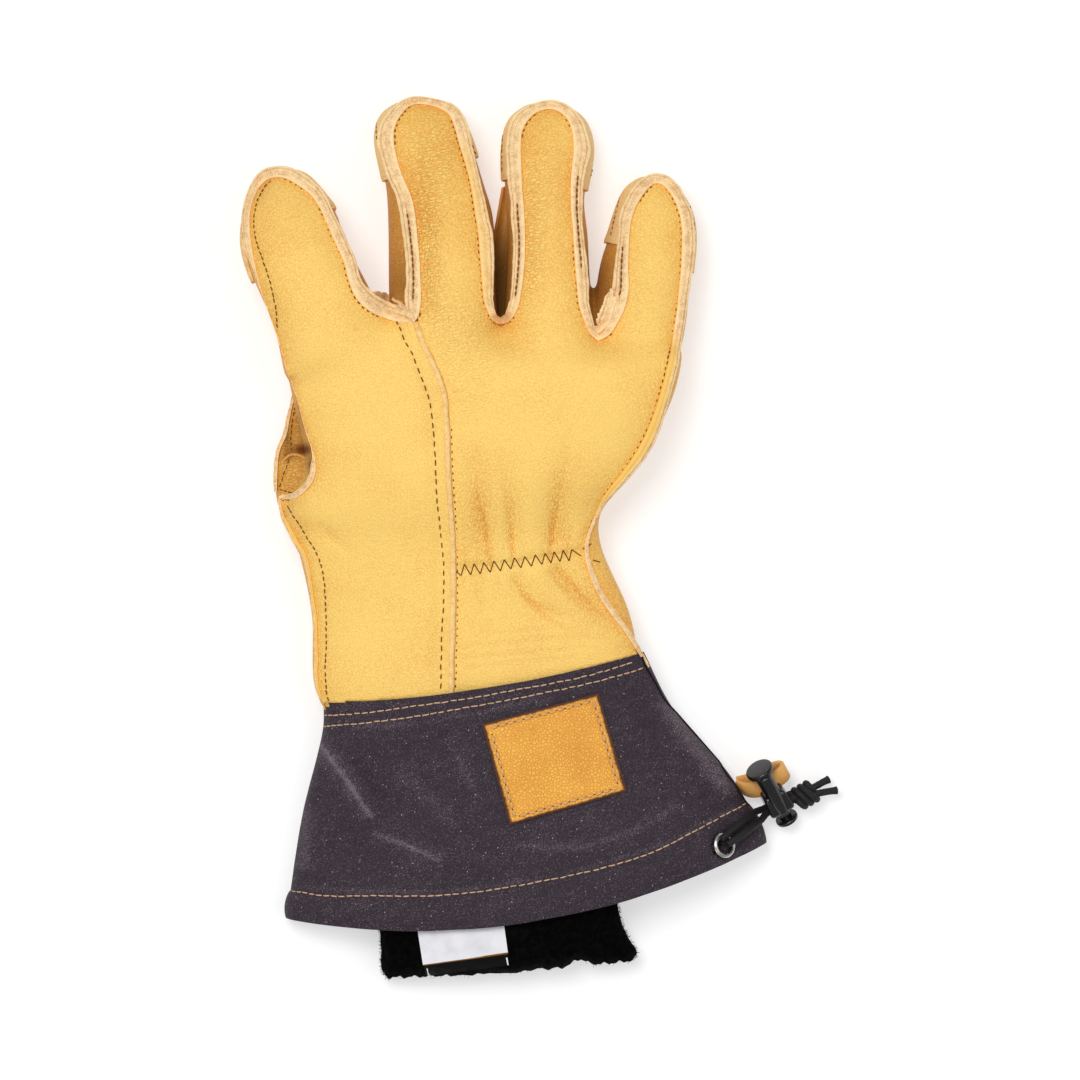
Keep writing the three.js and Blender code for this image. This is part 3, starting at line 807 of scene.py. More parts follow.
@dataclass(frozen=True)
class BurntLeather:
    """The patch's orange leather, burnt dark along its cut edges."""

    name: str = "patch_leather"
    light: Colour = srgb(250, 186, 74)
    deep: Colour = srgb(228, 152, 50)
    burnt: Colour = srgb(82, 42, 16)

    def make(self) -> Finish:
        """The material, with a fine grain."""
        paint = Paint(self.name)
        cloud = paint.noise(14, 3)
        fine = paint.noise(0.45, 3)
        lines = (0.2 - paint.cells(1.1, paint.warped(1.2, 0.4), Cell.EDGE)).above(0, 0.2)
        share = (cloud * 0.6 + fine * 0.5 + lines * 0.3).above(0.35, 0.95)
        colour = paint.mix(self.light, self.deep, share)
        edge = paint.attribute("rim") + (paint.noise(1.8, 3) - 0.5) * 0.4
        colour = paint.mix(colour, self.burnt, edge.above(0.28, 0.6))
        return paint.finish(colour, fine * 0.2 + 0.5, paint.bump(fine * 0.4 - lines, 0.14))


@dataclass(frozen=True)
class SatinCloth:
    """Narrow woven tape, as a label is made of."""

    name: str
    colour: Colour
    shade: Colour
    thread: float = 0.22

    def make(self) -> Finish:
        """The material, with its threads as a fine ripple."""
        paint = Paint(self.name)
        soft = paint.noise(6, 3)
        ribs = paint.bands(self.thread, "Y")
        colour = paint.mix(self.colour, self.shade, (soft - 0.3).above(0.0, 0.6))
        normal = paint.bump(ribs + paint.noise(1.2, 2) * 1.5, 0.05)
        return paint.finish(colour, 0.8, normal, {"Specular IOR Level": 0.1})


@dataclass(frozen=True)
class Nickel:
    """Plated metal with fine handling marks."""

    name: str = "nickel"
    colour: Colour = (0.58, 0.56, 0.53)
    dull: Colour = (0.33, 0.31, 0.29)

    def make(self) -> Finish:
        """The material, duller in patches."""
        paint = Paint(self.name)
        patch = paint.noise(1.8, 4)
        marks = paint.noise(0.3, 2, paint.stretched((5, 0.6, 1), 30))
        colour = paint.mix(self.colour, self.dull, (patch - 0.4).above(0.0, 0.4))
        rough = patch * 0.22 + 0.16
        return paint.finish(colour, rough, paint.bump(marks, 0.012), {"Metallic": 1.0})


@dataclass(frozen=True)
class GlossPlastic:
    """Glossy black moulded plastic."""

    name: str = "black_plastic"
    colour: Colour = (0.006, 0.006, 0.007)
    dust: Colour = (0.02, 0.02, 0.022)

    def make(self) -> Finish:
        """The material, with faint sink marks and scuffs."""
        paint = Paint(self.name)
        sink = paint.noise(4, 2)
        scuff = paint.noise(0.5, 3)
        colour = paint.mix(self.colour, self.dust, (scuff - 0.55).above(0.0, 0.2))
        rough = (scuff - 0.5).above(0.0, 0.3) * 0.16 + 0.14
        return paint.finish(colour, rough, paint.bump(sink, 0.12), {"Specular IOR Level": 0.6})


@dataclass(frozen=True)
class BraidedCord:
    """Black braided cord; its braid is in the mesh."""

    name: str = "cord"
    colour: Colour = (0.009, 0.009, 0.010)
    worn: Colour = (0.03, 0.03, 0.032)

    def make(self) -> Finish:
        """The material, with fine fibres."""
        paint = Paint(self.name)
        fibres = paint.noise(0.22, 2, None, 0.8)
        colour = paint.mix(self.colour, self.worn, (fibres - 0.5).above(0.0, 0.35))
        return paint.finish(colour, 0.62, paint.bump(fibres, 0.08), {"Specular IOR Level": 0.3})


class Finishes:
    """All the materials of the glove, made once."""

    def __init__(self) -> None:
        """Makes every material."""
        # A darker copy of the golden leather, painted shade for the fingers' side walls, the fork
        # strip and the thumb's cross seam.
        side = {"light": srgb(226, 165, 78), "deep": srgb(176, 110, 36), "depth": 0.12}
        loop = {"light": srgb(230, 172, 98), "deep": srgb(190, 122, 54), "depth": 0.06}
        self.leather = GrainLeather().make()
        self.shaded_side_leather = GrainLeather("shaded_side_leather", **side).make()
        self.loop_leather = GrainLeather("loop_leather", grain=0.6, **loop).make()
        self.seam_suede = Suede("seam_suede", srgb(253, 216, 148), srgb(234, 180, 104)).make()
        self.suede = Suede().make()
        self.canvas = WaxedCanvas().make()
        self.patch_leather = BurntLeather().make()
        self.fleece = Fleece().make()
        self.label_cloth = SatinCloth("label_cloth", srgb(247, 246, 250), srgb(226, 224, 230)).make()
        self.band_cloth = SatinCloth("band_cloth", srgb(16, 15, 17), srgb(6, 6, 7)).make()
        self.brown_thread = Thread("brown_thread", srgb(132, 80, 16)).make()
        self.tan_thread = Thread("tan_thread", srgb(212, 178, 148)).make()
        self.black_thread = Thread("black_thread", srgb(92, 44, 2)).make()
        self.patch_thread = Thread("patch_thread", srgb(228, 178, 116)).make()
        # A dark thread that is painted shadow along the cuff's side seam.
        self.seam_shadow_thread = Thread("seam_shadow_thread", srgb(34, 28, 34)).make()
        self.needle_hole = Thread("needle_hole", srgb(70, 38, 12)).make()
        self.nickel = Nickel().make()
        self.black_plastic = GlossPlastic().make()
        self.cord = BraidedCord().make()


# The hand's form


@dataclass(frozen=True)
class Limb:
    """A finger, the thumb or the hand as cross-sections, from its open end to its tip.

    Each row has the two side points seen from above, the heights of the underside, the side
    seams and the top, how much the left side is raised, and how far the middle bows back.
    """

    rows: Table
    power: float = 0.85

    def section(self, row: np.ndarray, angle: np.ndarray, grow: float) -> Points:
        """The points of one cross-section.

        Args:
            row: the section's columns.
            angle: angles of the points, from the right side over the top.
            grow: how far the surface is moved outwards.

        Returns:
            The section's points.
        """
        left, right = row[0:2], row[2:4]
        half = np.linalg.norm(right - left) / 2
        across = (right - left) / (2 * half)
        along = np.array([-across[1], across[0]])
        u = np.sign(np.cos(angle)) * np.abs(np.cos(angle)) ** self.power
        v = np.sign(np.sin(angle)) * np.abs(np.sin(angle)) ** self.power
        low, side, top, roll, bow = row[4:9]
        rise = np.where(v > 0, top - side, side - low) + grow
        ground = (left + right) / 2 + np.outer(u * (half + grow), across)
        ground -= np.outer(bow * (1 - u**2), along)
        return np.column_stack([ground, side + rise * v - roll * u])

    def grid(self, step: float, angle: np.ndarray, grow: float) -> Points:
        """Sections along the limb, as an array of rows of points."""
        sections = smooth_line(padded(self.rows, 9), step)
        return np.array([self.section(row, angle, grow) for row in sections])

    def surface(self, step: float, around: int, grow: float) -> tuple[Points, list[list[int]]]:
        """The limb's closed skin.

        Args:
            step: distance between the rings.
            around: how many points each ring has.
            grow: how far the surface is moved outwards.

        Returns:
            The points and faces.
        """
        rings = self.grid(step, np.linspace(0, 2 * np.pi, around, endpoint=False), grow)
        points = np.vstack([*rings, rings[0].mean(0)[None], rings[-1].mean(0)[None]])
        faces = []
        for r in range(len(rings) - 1):
            for i in range(around):
                a, b = r * around + i, r * around + (i + 1) % around
                faces.append([a, b, b + around, a + around])
        first, last, base = len(points) - 2, len(points) - 1, (len(rings) - 1) * around
        for i in range(around):
            faces.append([first, (i + 1) % around, i])
            faces.append([last, base + i, base + (i + 1) % around])
        return points, faces


LIMBS: dict[str, Limb] = {
    "index": Limb(
        (
            (-84, 58, -44, 68, 21.5, 31, 41.5), (-88, 76, -52.5, 86, 18, 30, 43),
            (-98, 100, -63.5, 108, 10, 23, 37.5), (-99.5, 110, -66.5, 117, 6, 18.5, 33),
            (-97.3, 121, -71.5, 124, 1.8, 14.5, 27.5), (-90, 130.5, -78, 131, 5.5, 12.5, 19.5),
            (-86, 132.5, -82, 132.5, 9.5, 12.5, 16),
        )
    ),
    "middle": Limb(
        (
            (-45, 62, -8, 66, 12.5, 25, 41.5), (-46.8, 84, -9, 86, 7, 22, 40),
            (-47.3, 113, -10.3, 116, 5.5, 18.5, 34.5), (-48, 126, -13.6, 128, 4, 16.5, 31),
            (-51.4, 146, -20, 147.5, 1.8, 13, 25), (-49, 153, -24, 153.5, 5.5, 12.5, 20.5),
            (-43.5, 156.8, -31, 156.8, 9, 12.5, 16.5),
        )
    ),
    "ring": Limb(
        (
            (-7, 60, 29, 60, 8, 20, 36.5), (-5.5, 84, 25.3, 84, 4, 19, 37),
            (-4.2, 110, 23.8, 110, 4, 17, 33), (-5, 122, 22.6, 122, 3, 15.5, 30.5),
            (-5.5, 142, 25, 142, 1.8, 13, 25.5), (-3, 151, 22, 151, 5.5, 12.5, 21),
            (3, 156, 15.5, 156, 9, 12.5, 16.5),
        )
    ),
    "little": Limb(
        (
            (24, 56, 54.5, 57, 7, 16, 29), (26, 78, 59, 76, 2, 15.5, 32.5),
            (29.5, 101, 61.3, 99, 2.4, 14, 30), (33, 111, 62, 108, 1.8, 13.5, 27.5),
            (35.5, 119, 61, 117, 1.8, 12.5, 24.5), (38.5, 125.6, 57, 124.6, 5, 12, 20.5),
            (43.5, 129.8, 51.5, 129.8, 9, 12, 15.5),
        )
    ),
    "hand": Limb(
        (
            (-65.4, -66, 38.2, -52, 4.5, 15, 27), (-73.6, -54.5, 41.2, -41.4, 3.4, 15.5, 28.9),
            (-75, -27, 38.8, -26, 3.2, 16, 30), (-80.5, -1, 28.4, -1, 3, 18, 33.5),
            (-84, 10, 28.8, 10, 4, 20.5, 37, 0, 2), (-77, 26, 42, 26, 7.5, 23.5, 41, 0, 4),
            (-82, 53, 54.7, 52, 10, 25.5, 42, 0, 6), (-85.5, 71, 57.8, 66, 11, 25.5, 41, 0, 8),
            (-83, 88, 57, 68.5, 14, 25.5, 38, 0, 9),
        ),
        0.75,
    ),
}

THUMB = Limb(
    (
        (-78, -9, -42, -12, 4, 12, 22), (-83.5, 3, -40, 0, 1, 11, 26), (-87.5, 13, -42, 13, 0, 10, 24),
        (-88.7, 24, -44, 29, 0, 9.5, 21.5), (-87.8, 30, -44, 36, 0, 9.2, 18),
        (-86.4, 35, -44, 42, 0, 9, 14), (-81.5, 57, -45, 67, 0, 8.5, 14),
        (-79.5, 71, -53, 79, 1.2, 8.5, 14), (-72, 82, -64, 84, 5, 8, 11),
    )
)


def tree_of(thing: Thing) -> BVHTree:
    """A tree to cast rays at a mesh, in millimetres."""
    faces = [tuple(p.vertices) for p in thing.data.polygons]
    return BVHTree.FromPolygons(points_of(thing).tolist(), faces)


def drop(tree: BVHTree, ground: Points) -> np.ndarray:
    """The height at which points fall on a surface from above."""
    result = np.empty(len(ground))
    for i, (x, y) in enumerate(ground):
        hit = tree.ray_cast(Vector((x, y, 90)), Vector((0, 0, -1)))[0]
        if hit is None:
            hit = tree.find_nearest(Vector((x, y, 20)))[0]
        result[i] = hit[2]
    return result


@dataclass(frozen=True)
class Fold:
    """A valley or ridge: three points in pixels, its half width and its depth.

    It starts faint at its first point, and has its full depth from the share fade of its length.
    """

    x0: float
    y0: float
    x1: float
    y1: float
    x2: float
    y2: float
    width: float
    depth: float
    fade: float = 0.8

    def press(self, points: Points) -> np.ndarray:
        """How deep the fold is at each point, in millimetres."""
        ends = [(self.x0, self.y0), (self.x1, self.y1), (self.x2, self.y2)]
        line = smooth_line(PHOTO.place(ends), 1.0)
        half = self.width * PHOTO.mm_per_px
        low, high = line.min(0) - 3 * half, line.max(0) + 3 * half
        near = np.flatnonzero(((points > low) & (points < high)).all(1))
        result = np.zeros(len(points))
        if len(near):
            distance, _, mark = nearest(points[near], line)
            share = mark / run_lengths(line)[-1]
            strength = ease(share, 0, self.fade) * (1 - ease(share, 0.88, 1.0))
            result[near] = self.depth * bell(distance, half) * strength
        return result


def folds(*rows: Sequence[float]) -> tuple[Fold, ...]:
    """Folds from rows of their three points, half width, depth and fade."""
    return tuple(Fold(*row) for row in rows)


BACK_FOLDS = folds(
    (462, 400, 474, 480, 487, 562, 5, 0.55), (468, 390, 477, 470, 484, 556, 15, 1),
    (498, 410, 508, 490, 513, 562, 4.5, 0.5), (503, 400, 512, 480, 514, 556, 12, 0.8),
    (574, 430, 558, 500, 552, 562, 6, 0.6), (580, 415, 562, 480, 553, 552, 15, 1.1),
    (496, 430, 497, 500, 500, 560, 7, -0.4), (533, 425, 532, 500, 531, 560, 11, -0.7),
    (582, 470, 578, 520, 572, 556, 7, -0.4), (463, 459, 480, 505, 493, 576, 2, 0.4, 0.6),
    (504, 476, 509, 515, 515, 574, 2, 0.4, 0.6), (568, 466, 557, 505, 549, 570, 2.4, 0.35, 0.6),
    (493, 530, 491, 548, 490, 568, 1.8, 0.35), (478, 470, 484, 520, 487, 566, 1.8, 0.3),
    (509, 470, 512, 520, 513, 566, 1.8, 0.35), (556, 480, 551, 525, 549, 562, 1.8, 0.35),
    (545, 520, 544, 545, 542, 562, 1.8, 0.35), (572, 515, 569, 540, 566, 558, 1.8, 0.35),
    (521, 530, 522, 548, 521, 566, 1.8, 0.3), (464, 530, 466, 556, 467, 574, 1.8, 0.3),
    (600, 624, 534, 604, 511, 570, 8, 0.9), (590, 622, 532, 602, 510, 572, 2.2, 0.5),
    (628, 640, 586, 602, 550, 562, 9, 1.3), (622, 634, 582, 596, 553, 564, 2.4, 0.7),
    (612, 630, 574, 598, 545, 566, 2.2, 0.4), (604, 624, 554, 600, 531, 566, 8, -0.7),
    (596, 640, 548, 618, 520, 590, 2.6, 0.5), (481, 618, 482, 596, 484, 574, 1.8, 0.3),
    (461, 614, 463, 592, 466, 576, 1.8, 0.3), (512, 612, 501, 592, 497, 572, 1.8, 0.3),
    (492, 626, 480, 602, 474, 574, 1.8, 0.3), (453, 569, 520, 562, 592, 548, 4, 0.8, 0.1),
    (620, 636, 530, 640, 455, 647, 2.6, 0.22, 0.3), (600, 645, 530, 652, 456, 658, 2.4, 0.22, 0.3),
    (590, 656, 530, 661, 460, 669, 2.6, 0.18, 0.3), (570, 627, 520, 631, 468, 635, 2.4, 0.18, 0.3),
    (446, 372, 462, 392, 485, 408, 4, 0.35, 0.3), (448, 338, 470, 345, 492, 343, 3, 0.3, 0.3),
    (366, 400, 376, 420, 392, 436, 3, 0.25, 0.3), (350, 540, 322, 533, 296, 520, 9, 0.8, 0.4),
    (362, 560, 340, 545, 318, 520, 4, 0.4, 0.4),
)


def evened(thing: Thing, voxel: float, rounds: int) -> Thing:
    """Joins a mesh's parts into one even skin and smooths it."""
    apply_modifier(thing, "REMESH", mode="VOXEL", voxel_size=voxel * MM)
    apply_modifier(thing, "SMOOTH", factor=0.5, iterations=rounds)
    return thing


@dataclass
class HandForm:
    """The hand's outer surface, which the panels and seam edges follow.

    Its first field is the cuff's front panel, which lies over the leather.
    """

    cuff_front: Thing
    step: float = 1.5
    around: int = 64
    grow: float = 0.35
    voxel: float = 1.15
    relax: int = 9
    under_cuff: float = 1.9
    narrow: float = 3.0

    def __post_init__(self) -> None:
        """Joins the limbs and evens the mesh."""
        self.cuff = tree_of(self.cuff_front)
        self.body = self._join_limbs()
        self.tree = tree_of(self.body)

    def _join_limbs(self) -> Thing:
        """One even mesh over all the limbs."""
        all_points, all_faces, count = [], [], 0
        for limb in LIMBS.values():
            points, faces = limb.surface(self.step, self.around, self.grow)
            all_points.append(points)
            all_faces += [[i + count for i in face] for face in faces]
            count += len(points)
        body = new_mesh("hand_form", np.vstack(all_points), all_faces)
        return evened(body, self.voxel, self.relax)

    def heights(self, ground: Points) -> np.ndarray:
        """The height of the back over points seen from above, with its folds."""
        return self.below_cuff(ground, drop(self.tree, ground) - self.folds(ground))

    def below_cuff(self, ground: Points, height: np.ndarray) -> np.ndarray:
        """Heights over points, pressed under the canvas where it covers them."""
        cover = top_of(self.cuff, ground)
        return np.where(cover > 0, np.minimum(height, cover - self.under_cuff), height)

    def folds(self, ground: Points) -> np.ndarray:
        """How deep the folds press at points."""
        return sum(fold.press(ground) for fold in BACK_FOLDS)

    def creased(self, ground: Points) -> np.ndarray:
        """How much painted shade the folds put on the leather's colour, the narrow ones most."""
        weights = [1.4 if fold.width < self.narrow else 0.25 for fold in BACK_FOLDS]
        tone = sum(fold.press(ground) * weight for fold, weight in zip(BACK_FOLDS, weights))
        return np.clip(tone, 0, 1)


# Seams of the back, in pixels of the photograph


@dataclass
class Seam:
    """A seam line of the back with the raw edges that stand outside it.

    The columns of its table are, in pixels, x, y, the width of the raw edges and how far inside
    the line stitches show. The fifth is 1 where stitches show in the groove between the edges,
    and below 0 where the inner edge is golden on top, down to -1. Columns left out are 0. The
    table runs round the hand with the outside on its left.
    """

    rows: Table
    step: float = 0.7

    def __post_init__(self) -> None:
        """Reads the table and smooths it."""
        table = padded(self.rows, 5)
        sizes = table[:, 2:4] * PHOTO.mm_per_px
        line = np.column_stack([PHOTO.place(self.rows), sizes, table[:, 4]])
        line = smooth_line(line, self.step)
        self.ground = line[:, :2]
        self.width = np.maximum(line[:, 2], 0)
        self.inset = line[:, 3]
        self.groove = line[:, 4] > 0.5
        self.gold = np.convolve(np.clip(-line[:, 4], 0, 1), np.ones(13) / 13, mode="same")
        self.outward = sideways(line)


SEAMS: dict[str, Seam] = {
    "welt_thumb_side": Seam((
        (332, 722, 0.3, 4, -1), (326.5, 712.5, 0.8, 5, -1), (323, 704, 2, 5, -1), (320, 693, 3, 6, -1),
        (317.5, 675, 4, 7, -1), (318, 660, 4, 7, -1), (317.5, 645, 4, 8, -1), (316.5, 615, 4, 9, -1),
        (314, 600, 4, 11, -1), (311.5, 580, 4, 12, -1), (309, 565, 4, 11, -1), (305, 553, 4, 10, -1),
        (299, 543, 5, 9, -1), (292, 530, 5, 9, -1), (285.5, 519, 4, 8, -1), (281.5, 508, 3, 6),
        (280.5, 498, 3), (287, 499, 5), (296, 498, 6), (305, 492, 6), (312, 484, 6), (316, 475, 6),
        (316.5, 465, 5), (315, 456, 2), (310, 440), (305, 425), (300, 405),
    )),
    "welt_index": Seam((
        (300, 405), (295.5, 390), (291, 379), (287, 365), (280, 341), (270, 313, 0, 7),
        (262.5, 291, 1, 10), (257, 270, 3, 9), (253, 250, 7, 6), (251, 235, 8, 4), (250, 220, 8, 4),
        (251, 208, 8, 4), (254, 197, 9, 4), (259, 186.5, 10, 4), (266, 179.5, 12, 3),
        (275, 177, 12, 1), (285, 178, 13, 1), (295, 183, 13, 1), (305, 190, 12, 1), (313, 197, 12, 1),
        (321, 209, 11, 1), (328, 224, 11, 1), (334, 238, 12, 1), (340, 251, 12, 1), (346, 265, 12, 1),
        (350, 280, 12, 1), (354, 292, 13, 1), (360, 302, 16, 1), (368, 310, 17, 1), (378, 316, 16, 1),
        (390, 320.5, 15, 1), (403, 324, 12, 1), (415, 324, 8, 1),
    )),
    "welt_middle": Seam((
        (415, 324, 8, 1), (419, 317, 12, 1), (421, 308, 15), (421.5, 298, 16, 0, 1),
        (421, 280, 14, 0, 1), (420, 260, 14, 0, 1), (418, 240, 14, 0, 1), (416, 220, 15, 0, 1),
        (412, 200, 15), (406, 185, 14), (400, 170, 15), (396, 155, 15), (393.5, 140, 16, 1),
        (394, 130, 15, 1), (397, 121, 13, 1), (402, 113, 11, 1), (407, 107, 9, 1), (413, 104, 8, 1),
        (421, 103.5, 8, 1), (431, 105, 8, 1), (440, 108, 9, 1), (449, 114, 11, 1), (455, 127, 13, 1),
        (459, 142, 13, 1), (464, 158, 12, 1, -0.5), (469, 176, 11, 1, -0.5), (473, 195, 11, 1, -0.5),
        (476, 215, 13, 1, -0.5), (479, 235, 14, 1, -0.5), (481, 260, 14, 1, -0.5),
        (483, 285, 12, 1, -0.5), (484.5, 300, 10, 1, -0.5), (488, 312, 8, 1), (493, 321, 7, 1),
        (501, 325, 6, 1),
    )),
    "welt_ring": Seam((
        (501, 325, 6, 1), (511, 320, 8, 1), (518, 308, 10), (521.5, 290, 11, 0, 1),
        (524, 270, 12, 0, 1), (525, 245, 12, 0, 1), (524, 215, 13, 0, 1), (522, 190, 14),
        (521, 165, 15), (520.5, 145, 15), (522, 131, 15, 1), (527, 121, 14, 1), (535, 113, 11, 1),
        (545, 109, 9.5, 1), (553, 109, 9.5, 1), (562, 113, 10, 1), (569, 121, 12, 1), (573, 135, 15),
        (574, 150, 16), (572.5, 165, 15), (571, 185, 13, 0, 1), (571, 205, 12, 0, 1),
        (573, 230, 11, 0, 1), (575, 260, 12, 1, 1), (577, 285, 12, 1), (579, 305, 11, 1),
        (584, 321, 9, 1), (590, 334, 7, 1), (598, 341.5, 6, 1),
    )),
    "welt_little": Seam((
        (598, 341.5, 6, 1), (608, 336, 9, 1), (618, 322, 14), (625, 306, 17), (628, 290, 16, 0, 1),
        (627.5, 270, 14, 0, 1), (628, 255, 13, 0, 1), (629, 235, 12), (631, 220, 13), (635, 208, 13),
        (641, 197, 13, 1), (648, 188, 12, 1), (655, 183, 11.5, 1), (663, 184.5, 11, 1),
        (670, 192, 11, 1), (676, 203, 11, 1), (680, 215, 13, 1), (682, 230, 13, 1), (682, 250, 13, 1),
        (681, 270, 12, 1), (679, 290, 10, 1), (677, 310, 10, 1), (674, 330, 10, 1),
    )),
    "welt_hand_side": Seam((
        (674, 330, 10, 1), (670, 355, 10, 1, -1), (664, 380, 10, 1, -1), (657, 405, 10, 1, -1),
        (649, 427, 11, 1, -1), (640, 446, 11, 1, -1), (628, 465, 10, 1, -1), (619, 477, 9, 1, -1),
        (610, 488, 8, 1, -1), (602, 500, 6, 1, -1), (597, 512, 4, 1), (592, 523, 3, 1), (586, 540, 3),
        (585, 553, 4), (590, 575, 5), (600, 597, 5), (612, 615, 6), (625, 632, 5), (640, 655, 4),
        (648, 668, 3),
    )),
}

BACK_SEAM = Seam((
    (415, 324, 4), (418, 333, 5), (423, 347, 5), (430.5, 362, 5), (438, 378, 5), (443.5, 397, 5),
    (446, 424, 5), (447, 462, 5), (449, 498, 5), (451, 528, 5), (452, 559, 5), (452, 600, 5),
    (451, 640, 5), (450, 693, 5), (450, 712, 5),
))


# The back of the hand


OUTLINE_STEP = 0.7


def outward_at(seam_line: Points, outward: Points, mark: np.ndarray) -> Points:
    """The outward direction at marks along a line."""
    lengths = run_lengths(seam_line)
    return np.column_stack([np.interp(mark, lengths, outward[:, k]) for k in range(2)])


def closed_outline(outline: Points) -> Points:
    """An outline in even steps that returns to its start."""
    return even_steps(np.vstack([outline, outline[:1]]), OUTLINE_STEP)


@dataclass
class BackPanel:
    """One leather panel of the back, a sheet inside its outline seen from above."""

    name: str
    outline: Points
    form: HandForm
    grid: float = 0.75
    wall: float = 1.3
    pucker: float = 2.6
    pucker_depth: float = 0.16
    turn_down: float = 0.45
    rounds: int = 60

    def __post_init__(self) -> None:
        """Closes the outline."""
        self.outline = closed_outline(self.outline)

    def build(self, lift: Callable[[Points], np.ndarray], finishes: Finishes) -> Thing:
        """Makes the panel.

        Args:
            lift: the extra height at points seen from above.
            finishes: the materials.

        Returns:
            The finished panel.
        """
        ground, faces, border = flat_mesh(self.outline, self.grid)
        distance, _, mark = nearest(ground, self.outline)
        outward = outward_at(self.outline, sideways(self.outline), mark)
        sample = ground - outward * np.clip(0.8 - distance, 0, 0.8)[:, None]
        height = even_heights(drop(self.form.tree, sample), faces, border, self.rounds)
        height += lift(ground) - self.form.folds(ground)
        height -= self.turn_down * bell(distance, 0.9)
        waves = np.cos(2 * np.pi * mark / self.pucker) * np.exp(-distance / 2.2)
        height += self.pucker_depth * waves
        height = self.form.below_cuff(ground, height)
        panel = new_mesh(self.name, np.column_stack([ground, height]), faces.tolist())
        beside = bell(nearest(ground, BACK_SEAM.ground)[0], 7) * (self.name == "index_panel")
        # Painted shade near the seams and in the folds, and the deeper-toned patches, are stored on
        # the panel.
        set_attributes(
            panel,
            edge=np.exp(-distance / 4.5) * (1 - 0.85 * beside),
            crease=self.form.creased(ground),
            tan=patches(ground, TONE_AND_SHADE),
            ripple=patches(ground, RIPPLES),
            pleat=patches(ground, PLEATS),
        )
        thicken(panel, self.wall, finishes.leather)
        return finish_piece(panel, None, Slot.GOLDEN_LEATHER, [self.name])


def flat_mesh(outline: Points, grid: float) -> tuple[Points, np.ndarray, np.ndarray]:
    """Quads inside a closed outline seen from above.

    Args:
        outline: the outline, its last point like its first.
        grid: the size of a quad.

    Returns:
        The points, the faces and the border's points, which lie on the outline.
    """
    low, high = outline.min(0) - 1, outline.max(0) + 1
    columns, rows = (np.arange(low[k], high[k], grid) for k in range(2))
    gx, gy = np.meshgrid(columns, rows, indexing="ij")
    middles = np.column_stack([gx.ravel(), gy.ravel()]) + grid / 2
    keep = inside(middles, outline[:-1]).reshape(gx.shape)[:-1, :-1]
    index = np.arange(gx.size).reshape(gx.shape)
    corners = [index[:-1, :-1], index[1:, :-1], index[1:, 1:], index[:-1, 1:]]
    used, faces = np.unique(np.stack(corners, axis=-1)[keep], return_inverse=True)
    faces = faces.reshape(-1, 4)
    points = np.column_stack([gx.ravel(), gy.ravel()])[used]
    border = border_of(faces)
    points[border] = nearest(points[border], outline)[1]
    return points, faces, border


def even_heights(
    height: np.ndarray, faces: np.ndarray, border: np.ndarray, rounds: int
) -> np.ndarray:
    """Heights of a mesh of quads, evened everywhere but on its border."""
    edges = np.vstack([faces[:, [i, (i + 1) % 4]] for i in range(4)])
    count = np.bincount(edges.ravel(), minlength=len(height)).astype(float)
    fixed = height[border]
    for _ in range(rounds):
        total = np.bincount(edges[:, 0], height[edges[:, 1]], len(height))
        total += np.bincount(edges[:, 1], height[edges[:, 0]], len(height))
        height = 0.4 * height + 0.6 * total / count
        height[border] = fixed
    return height


def border_of(faces: np.ndarray) -> np.ndarray:
    """The vertices on the open border of a mesh of quads."""
    edges = np.sort(np.vstack([faces[:, [i, (i + 1) % 4]] for i in range(4)]), axis=1)
    pairs, counts = np.unique(edges, axis=0, return_counts=True)
    return np.unique(pairs[counts == 1])


# Patches of fine ripples across and along: x, y, half width, half length in pixels, strength
RIPPLES = (
    (425, 235, 24, 90, 1), (440, 150, 32, 45, 0.7), (530, 240, 18, 80, 1), (555, 170, 28, 60, 0.5),
    (465, 330, 45, 45, 0.7), (300, 240, 30, 50, 0.4), (640, 290, 24, 70, 0.6), (520, 652, 80, 14, 0.5),
    (470, 400, 28, 45, 0.5), (400, 600, 60, 90, 0.35), (345, 400, 50, 70, 0.3),
    (560, 380, 60, 60, 0.3),
)
PLEATS = (
    (480, 520, 18, 60, 0.8), (515, 520, 14, 55, 0.7), (558, 520, 16, 55, 0.8), (590, 600, 26, 26, 0.6),
    (525, 590, 40, 20, 0.4), (432, 270, 14, 60, 1), (425, 200, 10, 40, 0.5),
)
# Patches where the colour deepens, painted shade where they lie in the wrist folds: x, y, half width,
# half length in pixels, strength
TONE_AND_SHADE = (
    (430, 190, 50, 110, 1), (545, 190, 36, 110, 0.9), (280, 230, 36, 70, 0.6),
    (660, 240, 24, 60, 0.15), (558, 510, 12, 60, 0.25), (480, 510, 10, 60, 0.2),
    (585, 600, 22, 22, 0.3), (628, 560, 20, 60, 0.3),
)
SHADES = (
    (304, 450, 14, 7, 0.9), (286, 438, 4.5, 20, 0.55), (300, 424, 12, 30, 0.45), (314, 464, 7, 7, 0.7),
    (314, 480, 7, 14, 0.45), (287, 457, 6, 4, 0.5), (298, 478, 22, 18, 0.2), (500, 285, 10, 55, 0.95),
    (604, 290, 14, 40, 0.5), (405, 290, 16, 34, 0.5),
)


def patches(ground: Points, table: Table) -> np.ndarray:
    """How strongly a table's soft patches show at points, from 0 to 1."""
    total = np.zeros(len(ground))
    for x, y, wide, long, strength in table:
        away = (ground - PHOTO.place([(x, y)])[0]) / (np.array([wide, long]) * PHOTO.mm_per_px)
        total += strength * np.exp(-(away**2).sum(1))
    return np.clip(total, 0, 1)


